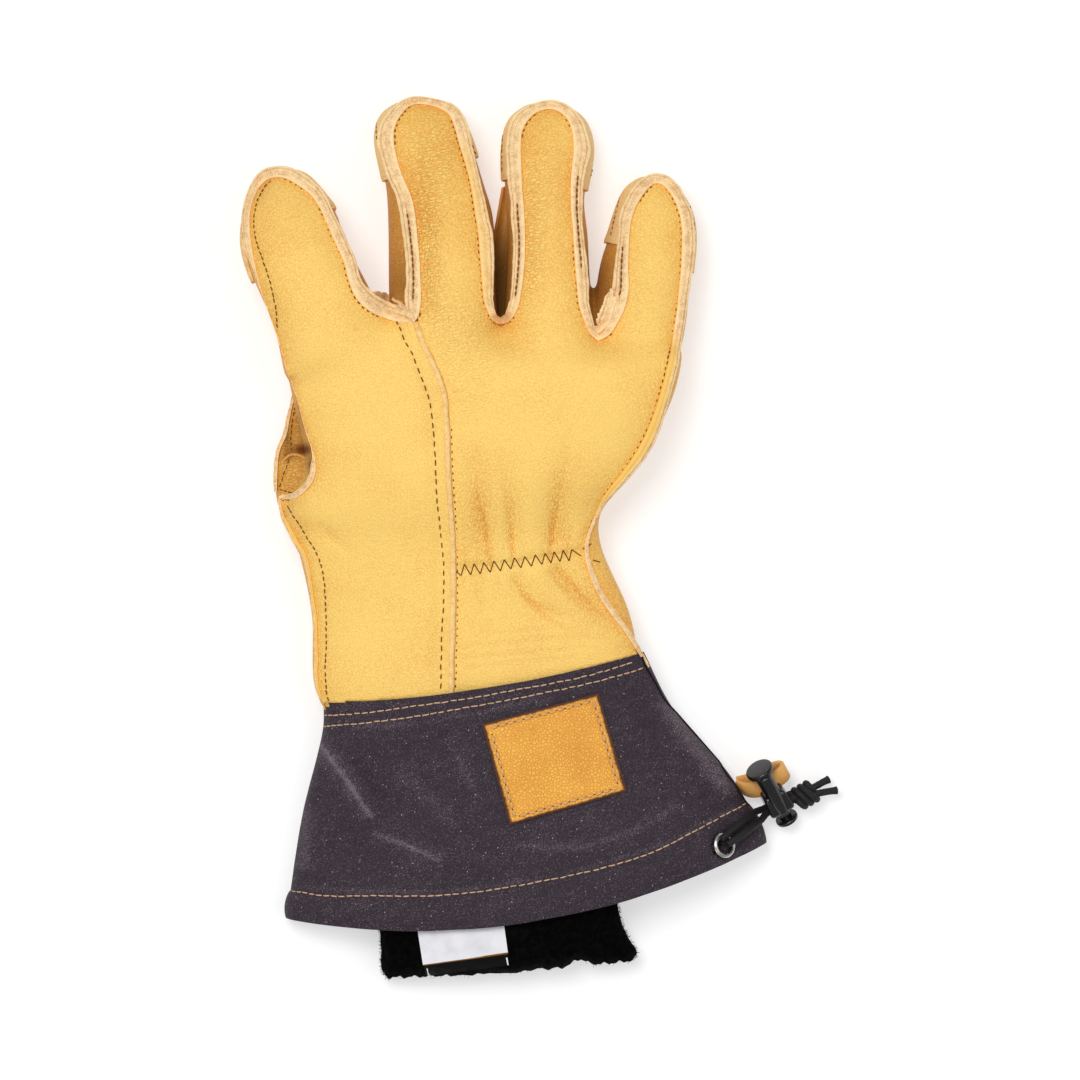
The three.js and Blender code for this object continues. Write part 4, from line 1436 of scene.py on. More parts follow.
@dataclass
class Back:
    """The two panels of the back, lapped along the back seam."""

    form: HandForm
    lap: float = 2.5
    step_up: float = 1.4
    left_end: Table = ((332, 722), (345, 720), (380, 714), (450, 706))
    right_end: Table = ((640, 674), (560, 692), (470, 706), (440, 712))

    def __post_init__(self) -> None:
        """Works out both outlines."""
        seam = BACK_SEAM.ground
        left = np.array([-self.lap, 0.0])
        bottom = PHOTO.place(self.left_end)
        right_bottom = PHOTO.place(self.right_end)
        first = [SEAMS["welt_thumb_side"].ground, SEAMS["welt_index"].ground[1:]]
        others = ("welt_middle", "welt_ring", "welt_little", "welt_hand_side")
        self.index_outline = np.vstack([*first, seam, bottom[1:][::-1]])
        self.back_outline = np.vstack(
            [*[SEAMS[name].ground[:-1] for name in others], right_bottom, (seam + left)[::-1]]
        )
        self.whole = np.vstack(
            [*first, *[SEAMS[name].ground[1:] for name in others], right_bottom[:-1], bottom[::-1]]
        )

    def build(self, finishes: Finishes) -> list[Thing]:
        """Makes both panels and the raw edge of the upper one."""
        seam = BACK_SEAM.ground

        def over(ground: Points) -> np.ndarray:
            """The index panel rises over the back panel along the seam."""
            return self.step_up * (1 - ease(nearest(ground, seam)[0], 3, 9))

        def under(ground: Points) -> np.ndarray:
            """The back panel keeps its place, and dips a little beside the seam."""
            return -0.35 * bell(nearest(ground, seam)[0], 1.6)

        return [
            BackPanel("index_panel", self.index_outline, self.form).build(over, finishes),
            BackPanel("back_panel", self.back_outline, self.form).build(under, finishes),
        ]


# The palm, the fingers' side walls and the wraps over the tips


WRAP_LINES = {
    "index": ((-97, 91), (-64, 122)),
    "middle": ((-55, 127.5), (-12, 138.5)),
    "ring": ((-12, 130.3), (28, 125.2)),
    "little": ((26, 108.8), (68, 94.2)),
}
FINGERS = ("index", "middle", "ring", "little")


@dataclass
class UnderParts:
    """What the hand's form shows outside the outline of both back panels together."""

    form: HandForm
    outline: Points
    wall: float = 1.2
    tuck: float = 1.5
    crotch: float = 58.0
    tips: float = 85.0
    under_edge: float = 1.7
    wrap_shift: float = 1.35

    def __post_init__(self) -> None:
        """Sorts the form's faces by the piece that they belong to."""
        self.outline = closed_outline(self.outline)
        body = self.form.body
        self.middles = face_middles(body)
        self.facing = face_normals(body)
        self.reach = self._reach(self.middles, self.facing)
        self.tucked = self._tucked(points_of(body), normals_of(body))
        self.finger, self.side = self._nearest_finger()

    def _reach(self, points: Points, facing: Points) -> np.ndarray:
        """How far inside the outline points of the upper side lie, negative outside it."""
        distance = nearest(points[:, :2], self.outline)[0]
        within = inside(points[:, :2], self.outline[:-1]) & (facing[:, 2] > 0)
        return np.where(within, distance, -distance)

    def _tucked(self, points: Points, facing: Points) -> Points:
        """The form's vertices, lowered where a back panel covers them."""
        reach = self._reach(points, facing)
        points[:, 2] -= self.tuck * ease(reach, -0.5, 1.1) * (facing[:, 2] > 0)
        return points

    def _nearest_finger(self) -> tuple[np.ndarray, np.ndarray]:
        """For each face its nearest finger, and -1 or 1 for that finger's left or right side."""
        ground = self.middles[:, :2]
        distances, sides = [], []
        for name in FINGERS:
            rows = np.array([row[:4] for row in LIMBS[name].rows])
            line = smooth_line((rows[:, :2] + rows[:, 2:4]) / 2, 2.0)
            distance, place, mark = nearest(ground, line)
            left = outward_at(line, sideways(line), mark)
            distances.append(distance)
            sides.append(-np.sign(((ground - place) * left).sum(1)))
        finger = np.argmin(distances, axis=0)
        return finger, np.array(sides)[finger, np.arange(len(ground))]

    def _beyond_wrap(self, name: str) -> np.ndarray:
        """Faces on the tip's side of a finger's wrap line."""
        start, end = (np.array(p, float) for p in WRAP_LINES[name])
        way = (end - start) / np.linalg.norm(end - start)
        away = self.middles[:, :2] - start
        beyond = way[0] * away[:, 1] - way[1] * away[:, 0]
        high = self.middles[:, 1] > self.tips
        return (beyond > 0) & (self.finger == FINGERS.index(name)) & high

    def _copy(self, name: str, keep: np.ndarray, shift: float) -> Thing:
        """A copy of some faces of the form, moved outwards.

        Args:
            name: the piece's name.
            keep: which faces it takes.
            shift: how far it is moved along the normals.

        Returns:
            The open sheet.
        """
        piece = bpy.data.objects.new(name, self.form.body.data.copy())
        bpy.context.scene.collection.objects.link(piece)
        move_points(piece, self.tucked + normals_of(piece) * shift)
        keep_faces(piece, keep)
        smooth_border(piece, 12)
        return piece

    def build(self, finishes: Finishes) -> list[Thing]:
        """Makes the palm panel, the side walls and the tip wraps."""
        shown = self.reach < self.under_edge
        wall = (self.facing[:, 2] > -0.5) & (self.middles[:, 1] > self.crotch) & shown
        sides = [(self.finger == i) & (self.side > 0) for i in range(3)]
        sides = [side | ((self.finger == i + 1) & (self.side < 0)) for i, side in enumerate(sides)]
        palm = shown.copy()
        sheets = []
        for (left, right), side in zip(zip(FINGERS, FINGERS[1:]), sides):
            palm &= ~(wall & side)
            sheets.append((f"fourchette_{left}_{right}", wall & side, 0.0, Slot.DARK_LEATHER))
        sheets.append(("palm_panel", palm, 0.0, Slot.GOLDEN_LEATHER))
        for name in FINGERS:
            keep = self._beyond_wrap(name) & ((self.reach < -2.0) | (self.facing[:, 2] < 0.1))
            sheets.append((f"tip_wrap_{name}", keep, self.wrap_shift, Slot.GOLDEN_LEATHER))
        made = []
        for name, keep, shift, slot in sheets:
            piece = self._copy(name, keep, shift)
            self._dress(piece, shift > 0)
            # The fingers' side walls take the darker leather, painted shade between the fingers.
            finish = finishes.shaded_side_leather if slot is Slot.DARK_LEATHER else finishes.leather
            thicken(piece, self.wall, finish, finishes.suede)
            made.append(finish_piece(piece, None, slot, [name]))
        return made

    def _dress(self, piece: Thing, wrap: bool) -> None:
        """Stores where painted shade deepens the leather's colour, lower down most, and where a wrap's
        raw edge shows.
        """
        points = points_of(piece)
        distance = nearest(points[:, :2], self.outline)[0]
        set_attributes(
            piece,
            raw=0.65 * ease(normals_of(piece)[:, 2], 0.0, 0.4) * wrap,
            edge=np.exp(-distance / 3.0),
            crease=0.25 + 0.3 * ease(-points[:, 2], -22, -6),
            ripple=0.35,
            tan=0.0 if wrap else 0.7,
            shade=patches(points[:, :2], SHADES),
        )


@dataclass(frozen=True)
class ForkShadeSheet:
    """A dark leather sheet across the fork between the middle and the ring finger, which puts painted
    shade where the fork is open.
    """

    outline: Table = (
        (495, 236), (499, 214), (503.5, 187), (507, 181), (509, 196), (511, 225), (511, 262),
        (512, 285), (511, 305), (506, 318), (500, 322), (492, 316), (487, 300), (486, 275),
        (489, 250), (495, 236),
    )
    grid: float = 0.8
    wall: float = 1.0
    level: float = 13.0
    slope: float = 0.06
    slope_from: float = 90.0
    sag: float = 4.0

    def build(self, finishes: Finishes) -> Thing:
        """Makes the strip, which sags between the fingers."""
        outline = even_steps(PHOTO.place(self.outline), OUTLINE_STEP)
        ground, faces, _ = flat_mesh(outline, self.grid)
        height = self.level + self.slope * (self.slope_from - ground[:, 1])
        height += crumple(np.column_stack([ground, 0 * ground[:, 0]]), 5, 0.5)[:, 2]
        height -= self.sag * (1 - np.exp(-nearest(ground, outline)[0] / 2))
        piece = new_mesh("fork_shade_sheet", np.column_stack([ground, height]), faces.tolist())
        set_attributes(piece, shade=0.2 + 0.45 * ease(-ground[:, 1], -122, -95))
        thicken(piece, self.wall, finishes.shaded_side_leather)
        return finish_piece(piece, None, Slot.DARK_LEATHER)


# The raw seam edges


@dataclass
class Welt:
    """The raw plies that stand along a seam, as one domed strip.

    Its fields are the strip's name, its seam, a function for the leather's height over points,
    which chance is used, how far it lies over the leather and how uneven its cut edges are.
    """

    name: str
    seam: Seam
    heights: Callable[[Points], np.ndarray]
    seed: int
    lift: float = 0.0
    ragged: float = 0.1
    inner_drop: float = 2.6
    outer_drop: float = 4.2
    rise: float = 0.5
    crown: float = 0.62
    lean: float = 0.3
    least: float = 0.25
    overlap: float = 0.15
    places: tuple[float, ...] = (
        0.0, 0.03, 0.12, 0.25, 0.37, 0.45, 0.5, 0.55, 0.63, 0.72, 0.78, 0.81, 0.85, 0.92, 0.98, 1.0,
    )

    def __post_init__(self) -> None:
        """Sets the strip along its seam."""
        inner = self.heights(self.seam.ground - self.seam.outward * 0.7) + self.lift
        self.height = np.convolve(np.pad(inner, 3, mode="edge"), np.ones(7) / 7, mode="valid")
        self.groove = np.convolve(self.seam.groove.astype(float), np.ones(15) / 15, mode="same")

    def _level(self, place: float, width: np.ndarray) -> np.ndarray:
        """The height at one place across the strip, all along it."""
        dome = self.crown * np.minimum(width / 2.2, 1.3) * (1 - abs(2 * place - 1) ** 3)
        groove = (0.3 + 0.95 * self.groove) * bell((place - 0.5) * width, 0.4)
        ply = np.minimum(width / 3, 1) * (0.5 * (place == 0.81) + 0.28 * (place > 0.81))
        return self.rise + dome - groove - ply - self.lean * place * width

    def build(self, finish: Finish, replaces: Sequence[str] = ()) -> Thing:
        """Makes the strip."""
        seam = self.seam
        count = len(seam.ground)
        swell = 0.12 * wobble(count, Seam.step, 8, self.seed + 1)
        width = seam.width * (1 + 0.06 * wobble(count, Seam.step, 6, self.seed + 5))
        width = np.maximum(width, self.least)
        rings = []
        for i, place in enumerate(self.places):
            jag = wobble(count, Seam.step, 1.6, self.seed * 31 + i)
            edge = self.ragged * (place > 0.9) + 0.4 * self.ragged
            across = place * width + jag * edge
            up = self._level(place, width) + swell + jag * 0.05
            ground = seam.ground + seam.outward * (across - self.overlap)[:, None]
            rings.append(np.column_stack([ground, self.height + up]))
        share = np.clip(width / 2.5, 0.08, 1)
        for across, deep in ((width * 0.99, self.outer_drop), (0 * width, self.inner_drop)):
            ground = seam.ground + seam.outward * (across - self.overlap)[:, None]
            rings.append(np.column_stack([ground, self.height - deep * share]))
        grid = np.array(rings).transpose(1, 0, 2)
        piece = grid_mesh(self.name, grid, around=True)
        places = np.array([*self.places, 1.0, 0.0])
        # Painted shade in the groove between the plies and along the ply line, none where the inner
        # ply is golden.
        middle = (places == 0.5)[None] * (0.18 + 0.5 * self.groove)[:, None]
        slit = np.maximum(middle * (1 - seam.gold)[:, None], 0.3 * (places == 0.78)[None])
        slit = slit * (width > 1.4)[:, None]
        gold = seam.gold[:, None] * ease(0.85 - places, 0, 0.4)[None] * 0.9
        pale = np.ones((count, 1)) * ((places < 0.2) | (places > 0.9))[None]
        set_attributes(piece, slit=slit.ravel(), gold=gold.ravel(), pale=pale.ravel())
        return finish_piece(piece, finish, Slot.SUEDE_EDGE, replaces, angle=80)


# Loose folds of raw leather in the forks: how high each lies over the leather, and its seam table
SCRAPS: dict[str, tuple[float, Table]] = {
    "fork_scrap_index": (
        1.1, ((362, 297, 4), (370, 302, 9), (382, 306, 13), (394, 310, 12), (404, 315, 6)),
    ),
    "fork_scrap_middle": (
        1.9, ((374, 306, 4), (386, 310, 8), (397, 314, 11), (408, 318, 9), (415, 320, 4)),
    ),
    "fork_scrap_curl": (1.4, ((392, 300, 3), (400, 306, 7), (404, 314, 8), (403, 322, 4))),
    "fork_scrap_ring": (
        1.2, ((592, 331, 4), (599, 333, 8), (607, 326, 12), (613, 312, 13), (616, 298, 8)),
    ),
    "fork_scrap_little": (2.0, ((604, 318, 3), (609, 309, 7), (612, 300, 7), (613, 290, 3))),
}


@dataclass
class Welts:
    """All the seam edges of the back."""

    form: HandForm
    ragged: float = 0.55
    back_profile: Table = (
        (-0.4, -1.2), (-0.3, -0.25), (0.05, 0.02), (0.4, 0.05), (0.75, -0.1), (1.0, -0.6), (1.0, -1.3),
    )

    def __post_init__(self) -> None:
        """Lays out the edges along the seams."""
        seams = enumerate(SEAMS.items())
        heights = self.form.heights
        self.edges = {name: Welt(name, seam, heights, 20 + 10 * i) for i, (name, seam) in seams}

    def build(self, finishes: Finishes) -> list[Thing]:
        """Makes the edges, the scraps in the forks and the raw edge along the back seam."""
        made = [edge.build(finishes.suede, [name]) for name, edge in self.edges.items()]
        for i, (name, (lift, rows)) in enumerate(SCRAPS.items()):
            scrap = Welt(name, Seam(rows), self.form.heights, 400 + 10 * i, lift, self.ragged)
            made.append(scrap.build(finishes.suede))
        return [*made, self._back_edge(finishes.seam_suede)]

    def _back_edge(self, finish: Finish) -> Thing:
        """The cut edge of the index panel along the back seam."""
        seam = BACK_SEAM
        count = len(seam.ground)
        base = self.form.below_cuff(seam.ground, self.form.heights(seam.ground) + Back.step_up)
        width = seam.width * (0.85 + 0.08 * wobble(count, Seam.step, 6, 7))
        across = sideways(seam.ground)
        rings = []
        for s, up in self.back_profile:
            jag = 0.1 * wobble(count, Seam.step, 1.3, 40 + int(s * 10))
            ground = seam.ground + across * (s * width + jag)[:, None]
            rings.append(np.column_stack([ground, base + up]))
        piece = grid_mesh("back_seam_edge", np.array(rings).transpose(1, 0, 2), around=True)
        return finish_piece(piece, finish, Slot.SUEDE_EDGE, ["back_seam_edge"], angle=80)


# Stitches


def rings_round(side: Points, up: Points, count: int) -> Points:
    """A ring of unit vectors for each pair of directions across a path."""
    turn = np.linspace(0, 2 * np.pi, count, endpoint=False)
    cosine, sine = np.cos(turn)[None, :, None], np.sin(turn)[None, :, None]
    return side[:, None] * cosine + up[:, None] * sine


STATIONS = np.array([-1.0, -0.86, -0.45, 0.0, 0.45, 0.86, 1.0])
FULLNESS = np.array([0.4, 0.85, 1.0, 1.05, 1.0, 0.85, 0.4])


@dataclass
class ThreadWork:
    """Gathers stitches of one thread and the needle holes between them into one piece.

    Its first fields are the piece's name, its material, the thread's radius and, where they
    show, the material of the needle holes. A stitch is a tube through STATIONS, half its length
    to each side, and as full at each as FULLNESS says.
    """

    name: str
    finish: Finish
    radius: float
    hole_finish: Optional[Finish] = None
    sides: int = 6
    hole: float = 0.27
    hole_depth: float = 0.3
    points: list[Points] = field(default_factory=list)
    faces: list[list[int]] = field(default_factory=list)
    dark: list[int] = field(default_factory=list)
    count: int = 0

    def _pierce(self, place: Points) -> None:
        """Adds a needle hole, a shallow dark cone."""
        turn = np.linspace(0, 2 * np.pi, 6, endpoint=False)
        ring = place + np.column_stack([np.cos(turn), np.sin(turn), 0 * turn]) * self.hole
        self.points.append(np.vstack([ring, place - (0, 0, self.hole_depth)]))
        base = self.count
        self.dark += range(len(self.faces), len(self.faces) + 7)
        self.faces.append([base + i for i in range(6)])
        self.faces += [[base + (i + 1) % 6, base + i, base + 6] for i in range(6)]
        self.count += 7

    def _tube(self, path: Points, radii: np.ndarray) -> None:
        """Adds a closed tube along a path."""
        way = unit(np.gradient(path, axis=0))
        flat = unit(np.cross(way, [0.0, 0.0, 1.0]))
        ring = rings_round(flat, np.cross(flat, way), self.sides)
        self.points.append((path[:, None] + ring * radii[:, None, None]).reshape(-1, 3))
        base, n = self.count, self.sides
        for r in range(len(path) - 1):
            for i in range(n):
                a, b = base + r * n + i, base + r * n + (i + 1) % n
                self.faces.append([a, b, b + n, a + n])
        last = base + (len(path) - 1) * n
        self.faces.append([base + i for i in reversed(range(n))])
        self.faces.append([last + i for i in range(n)])
        self.count += len(path) * n

    def row(
        self,
        line: Points,
        pitch: float = 2.3,
        length: float = 1.6,
        jitter: float = 0.1,
        seed: int = 1,
    ) -> None:
        """Adds a row of stitches along a line.

        Args:
            line: the row's points on the surface.
            pitch: distance between stitches.
            length: length of each stitch that shows.
            jitter: how far a stitch may lie off the line.
            seed: which chance is used.
        """
        if len(line) < 3:
            return
        rng = np.random.default_rng(seed)
        along = run_lengths(line)
        if along[-1] < length:
            return
        for middle in np.arange(length / 2 + 0.2, along[-1] - length / 2, pitch):
            shift = rng.uniform(-jitter, jitter, 4)
            marks = middle + shift[0] * 2 + STATIONS * length / 2 * (1 + shift[1])
            path = np.column_stack([np.interp(marks, along, line[:, k]) for k in range(3)])
            path[:, :2] += sideways(path) * (shift[2] + STATIONS * shift[3])[:, None]
            path[:, 2] += self.radius * (0.75 - 1.9 * np.abs(STATIONS) ** 3)
            self._tube(path, self.radius * FULLNESS)
            if self.hole_finish is not None:
                gap = middle + pitch / 2
                place = np.array([np.interp(gap, along, line[:, k]) for k in range(3)])
                self._pierce(place + (0, 0, 0.07))

    def thread(self, path: Points) -> None:
        """Adds one long thread."""
        self._tube(path, np.full(len(path), self.radius))

    def build(self, slot: Slot = Slot.THREAD) -> Thing:
        """Makes the piece."""
        piece = new_mesh(self.name, np.vstack(self.points), self.faces)
        finish_piece(piece, self.finish, slot, angle=80)
        if self.hole_finish is not None:
            piece.data.materials.append(self.hole_finish)
            for face in self.dark:
                piece.data.polygons[face].material_index = 1
        return piece


def split_runs(keep: np.ndarray) -> list[np.ndarray]:
    """The runs of neighbouring entries that are true."""
    marks = np.flatnonzero(np.diff(np.concatenate([[0], keep.astype(int), [0]])))
    return [np.arange(a, b) for a, b in zip(marks[::2], marks[1::2]) if b - a > 3]


@dataclass
class HandStitches:
    """The seams' stitches and the gathering thread of the hand, on the surfaces that it takes."""

    form: HandForm
    welts: Welts
    wraps: Sequence[Thing]
    zigzag_low: Table = (
        (461.5, 575.5), (471, 575), (480.6, 573.8), (490.4, 572.3), (500.7, 570.9), (511, 569),
        (521, 567.8), (531.5, 566.3), (542, 564.5), (551, 563), (560, 561.6), (569, 561), (577, 555),
    )
    zigzag_start: Sequence[float] = (456, 571)
    zigzag_end: Sequence[float] = (581, 556)
    zigzag_rise: float = 11.5
    zigzag_lean: float = 1.5
    loose_ends: Sequence[Table] = (((583, 549), (591, 544)), ((593, 560), (600, 562)))
    back_row: Table = (
        (397, 322), (402, 332), (407, 345), (412, 352), (418, 368), (425, 385), (430, 400), (433, 420),
        (435, 440), (437, 480), (438, 500), (440, 520), (442, 540), (444, 560), (444, 600), (442, 640),
        (441, 696),
    )
    shadow_row_offset: float = 2.15
    wrap_rows: Sequence[Table] = (
        ((290, 170), (310, 182), (330, 206)), ((243, 232), (248, 256), (258, 284)),
        ((376, 122), (377, 140), (381, 151), (388, 172)), ((466, 124), (471, 142), (477, 158)),
        ((503, 126), (502, 150), (502, 176)), ((591, 124), (596, 145), (590, 180)),
        ((622, 186), (616, 212), (610, 238)), ((690, 205), (695, 228), (693, 266)),
    )

    def build(self, finishes: Finishes) -> list[Thing]:
        """Makes the stitches."""
        seams = ThreadWork("seam_stitches", finishes.brown_thread, 0.23)
        for i, (name, seam) in enumerate(SEAMS.items()):
            for run in split_runs(seam.inset > 0.15):
                ground = seam.ground[run] - seam.outward[run] * (seam.inset[run] + 0.3)[:, None]
                height = self.form.heights(ground) - 0.25 * np.exp(-seam.inset[run] / 1.2)
                seams.row(np.column_stack([ground, height]), seed=60 + i)
            for run in split_runs(seam.groove):
                edge = self.welts.edges[name]
                across = seam.width[run] * 0.5 - edge.overlap
                ground = seam.ground[run] + seam.outward[run] * across[:, None]
                seams.row(np.column_stack([ground, edge.height[run] + 0.1]), seed=90 + i)
        self._wrap_rows(seams)
        self._back_rows(seams)
        gather = ThreadWork("gathering_thread", finishes.black_thread, 0.17)
        low = np.array(self.zigzag_low)
        rows = []
        for (x, y), (next_x, _) in zip(low, low[1:]):
            rows.append((x, y))
            rows.append(((x + next_x) / 2 - self.zigzag_lean, y - self.zigzag_rise))
        for run in ([self.zigzag_start, *rows, self.zigzag_end], *self.loose_ends):
            ground = even_steps(PHOTO.place(run), 0.4)
            gather.thread(np.column_stack([ground, self.form.heights(ground) + 0.22]))
        return [seams.build(), gather.build()]

    def _wrap_rows(self, seams: ThreadWork) -> None:
        """The rows along the wraps over the tips."""
        wraps = [tree_of(wrap) for wrap in self.wraps]
        for i, row in enumerate(self.wrap_rows):
            ground = smooth_line(PHOTO.place(row), 0.7)
            height = np.max([top_of(tree, ground) for tree in wraps], axis=0)
            for run in split_runs(height > 3):
                seams.row(np.column_stack([ground, height])[run], 2.2, 1.6, seed=200 + i)

    def _back_rows(self, seams: ThreadWork) -> None:
        """The stitches beside the back seam's raw edge, and on its other side a row of stitches that
        stands for the seam's shadow line, a painted shadow.
        """
        line = smooth_line(PHOTO.place(self.back_row), 0.7)
        height = self.form.heights(line) + Back.step_up
        seams.row(np.column_stack([line, height]), 3.4, 2.1, seed=120)
        # Painted shadow: a row of stitches on the back panel's side of the raw edge, where the seam's
        # shadow line falls.
        beside = BACK_SEAM.ground + sideways(BACK_SEAM.ground) * self.shadow_row_offset
        beside = beside[(beside[:, 1] < 40) & (beside[:, 1] > -56)]
        height = self.form.heights(beside) - 0.3
        seams.row(np.column_stack([beside, height]), 2.6, 1.2, seed=121)


# The thumb


@dataclass(frozen=True)
class ThumbPiece:
    """The thumb, folded under the palm, with its own seams."""

    step: float = 1.5
    around: int = 56
    grow: float = 0.25
    voxel: float = 1.1
    relax: int = 7
    floor: float = 0.05
    outer_edge: Table = (
        (276, 492, 3), (276.5, 474, 4), (277.5, 457, 4), (279.5, 448, 4), (285.5, 434, 4),
        (288.5, 418, 3.5), (291, 406, 3), (293.5, 396, 2),
    )
    rows: Sequence[Table] = (
        ((296, 398), (292, 418), (290, 436), (291, 452)),
        ((289, 459), (285, 470), (281, 482), (278, 490)),
        ((279, 489), (288, 492), (298, 492), (305, 487)),
    )
    cross_seam: Table = ((283, 460), (290, 455), (298, 455), (308, 460), (318, 468))
    roll: float = 0.55

    def build(self, finishes: Finishes) -> list[Thing]:
        """Makes the thumb, its raw edge, its cross seam and its stitches."""
        points, faces = THUMB.surface(self.step, self.around, self.grow)
        thumb = evened(new_mesh("thumb", points, faces), self.voxel, self.relax)
        points = points_of(thumb)
        points += crumple(points, 16, 0.8) + crumple(points, 4, 0.3)
        points[:, 2] = np.maximum(points[:, 2], self.floor)
        move_points(thumb, points)
        shade = patches(points[:, :2], SHADES)
        # Painted shade: the whole thumb is deeper in colour, as it lies in the shade under the palm,
        # and darkest in the hollow's patches.
        set_attributes(thumb, edge=0.1, crease=0.45, tan=1.0, ripple=0.9, shade=shade)
        finish_piece(thumb, finishes.leather, Slot.GOLDEN_LEATHER, ["thumb"])
        tree = tree_of(thumb)

        def heights(ground: Points) -> np.ndarray:
            """The height of the thumb over points."""
            return drop(tree, ground)

        edge = Welt("thumb_raw_edge", Seam(self.outer_edge), heights, 330).build(finishes.suede)
        # The cross seam's roll takes the darker leather, painted shade along the seam's groove.
        roll = ThreadWork("thumb_cross_seam", finishes.shaded_side_leather, self.roll)
        line = smooth_line(PHOTO.place(self.cross_seam), 0.7)
        roll.thread(np.column_stack([line, heights(line)]))
        sewn = ThreadWork("thumb_stitches", finishes.brown_thread, 0.22)
        for i, row in enumerate(self.rows):
            line = smooth_line(PHOTO.place(row), 0.7)
            sewn.row(np.column_stack([line, heights(line) + 0.05]), seed=340 + i)
        return [thumb, edge, roll.build(Slot.DARK_LEATHER), sewn.build()]


# The gauntlet


CUFF = Limb(
    (
        (-71, -59, 44.5, -40.5, 0.6, 13, 30.9, 0, 3.5), (-71.8, -70, 54.5, -60, 0, 10, 31.3, 0, 5),
        (-78.6, -98, 75, -84, 0, 7, 31.3, 0, 9.5), (-81.8, -116, 83, -97, 0, 6.5, 30.8, 0, 12),
        (-84.8, -137, 89, -109.5, 0, 6, 30.3, 0, 14),
    ),
    0.92,
)
LINER = Limb(
    (
        (-69, -40, 34, -34, 8, 15.2, 22.2), (-60, -82, 36, -76, 7, 14, 22.2, 0, 3),
        (-52, -126, 34.5, -126, 3, 11, 26, 0, 4), (-50.5, -146, 37.5, -140, 2.6, 9.5, 24, 0, 4),
        (-50.3, -155, 42, -149, 3.2, 9.2, 20.5, 0, 1.5), (-48.5, -158.2, 41, -152, 6.5, 9, 14.5, 0, 1),
    ),
    0.75,
)
CUFF_FOLDS = folds(
    (312, 735, 341, 772, 376, 823, 4.5, -1.3, 0.2), (362, 828, 405, 845, 450, 862, 4.5, -0.9, 0.3),
    (330, 735, 360, 775, 384, 812, 9, 1, 0.3), (318, 760, 330, 810, 360, 850, 10, 0.9, 0.3),
    (395, 735, 405, 800, 398, 850, 16, 0.6, 0.3), (455, 720, 450, 790, 462, 850, 14, 0.5, 0.3),
    (470, 830, 560, 845, 640, 815, 9, -0.5, 0.3), (640, 700, 665, 745, 672, 800, 10, 0.6, 0.3),
    (668, 735, 690, 760, 700, 800, 9, -0.6, 0.3), (610, 838, 660, 822, 700, 800, 8, 0.5, 0.3),
    (380, 760, 420, 770, 470, 760, 10, -0.4, 0.3), (610, 690, 640, 720, 650, 760, 9, -0.5, 0.3),
)
WORN_LINES = folds(
    (314, 738, 341, 772, 376, 823, 2, 0.8, 0.1), (366, 829, 408, 845, 444, 862, 1.8, 0.7, 0.3),
    (312, 737, 341, 772, 372, 823, 8, 0.4, 0.2), (362, 829, 405, 845, 450, 862, 8, 0.3, 0.2),
    (300, 800, 305, 840, 300, 875, 9, 0.4, 0.2), (655, 690, 690, 740, 735, 800, 9, 0.6, 0.2),
    (500, 845, 600, 842, 690, 800, 5, 0.3, 0.2), (330, 728, 420, 722, 560, 694, 3, 0.25, 0.2),
    (288, 888, 440, 890, 560, 874, 2.5, 0.3, 0.1), (560, 874, 660, 844, 745, 802, 2.5, 0.3, 0.1),
    (440, 730, 460, 760, 480, 800, 4, 0.25, 0.3), (395, 760, 430, 800, 460, 830, 10, 0.2, 0.2),
)
HEM_ROW = (
    (285, 892), (300, 893), (330, 896), (370, 895), (400, 895), (440, 894), (480, 890), (500, 887),
    (540, 880), (580, 872), (620, 862), (660, 848), (680, 838), (700, 828), (725, 815), (748, 804),
)
SIDE_SEAM = (
    (642, 657), (645, 665), (655, 682), (665, 700), (680, 717), (690, 729), (705, 745), (720, 763),
    (727, 775), (735, 785), (742, 797), (749, 806),
)


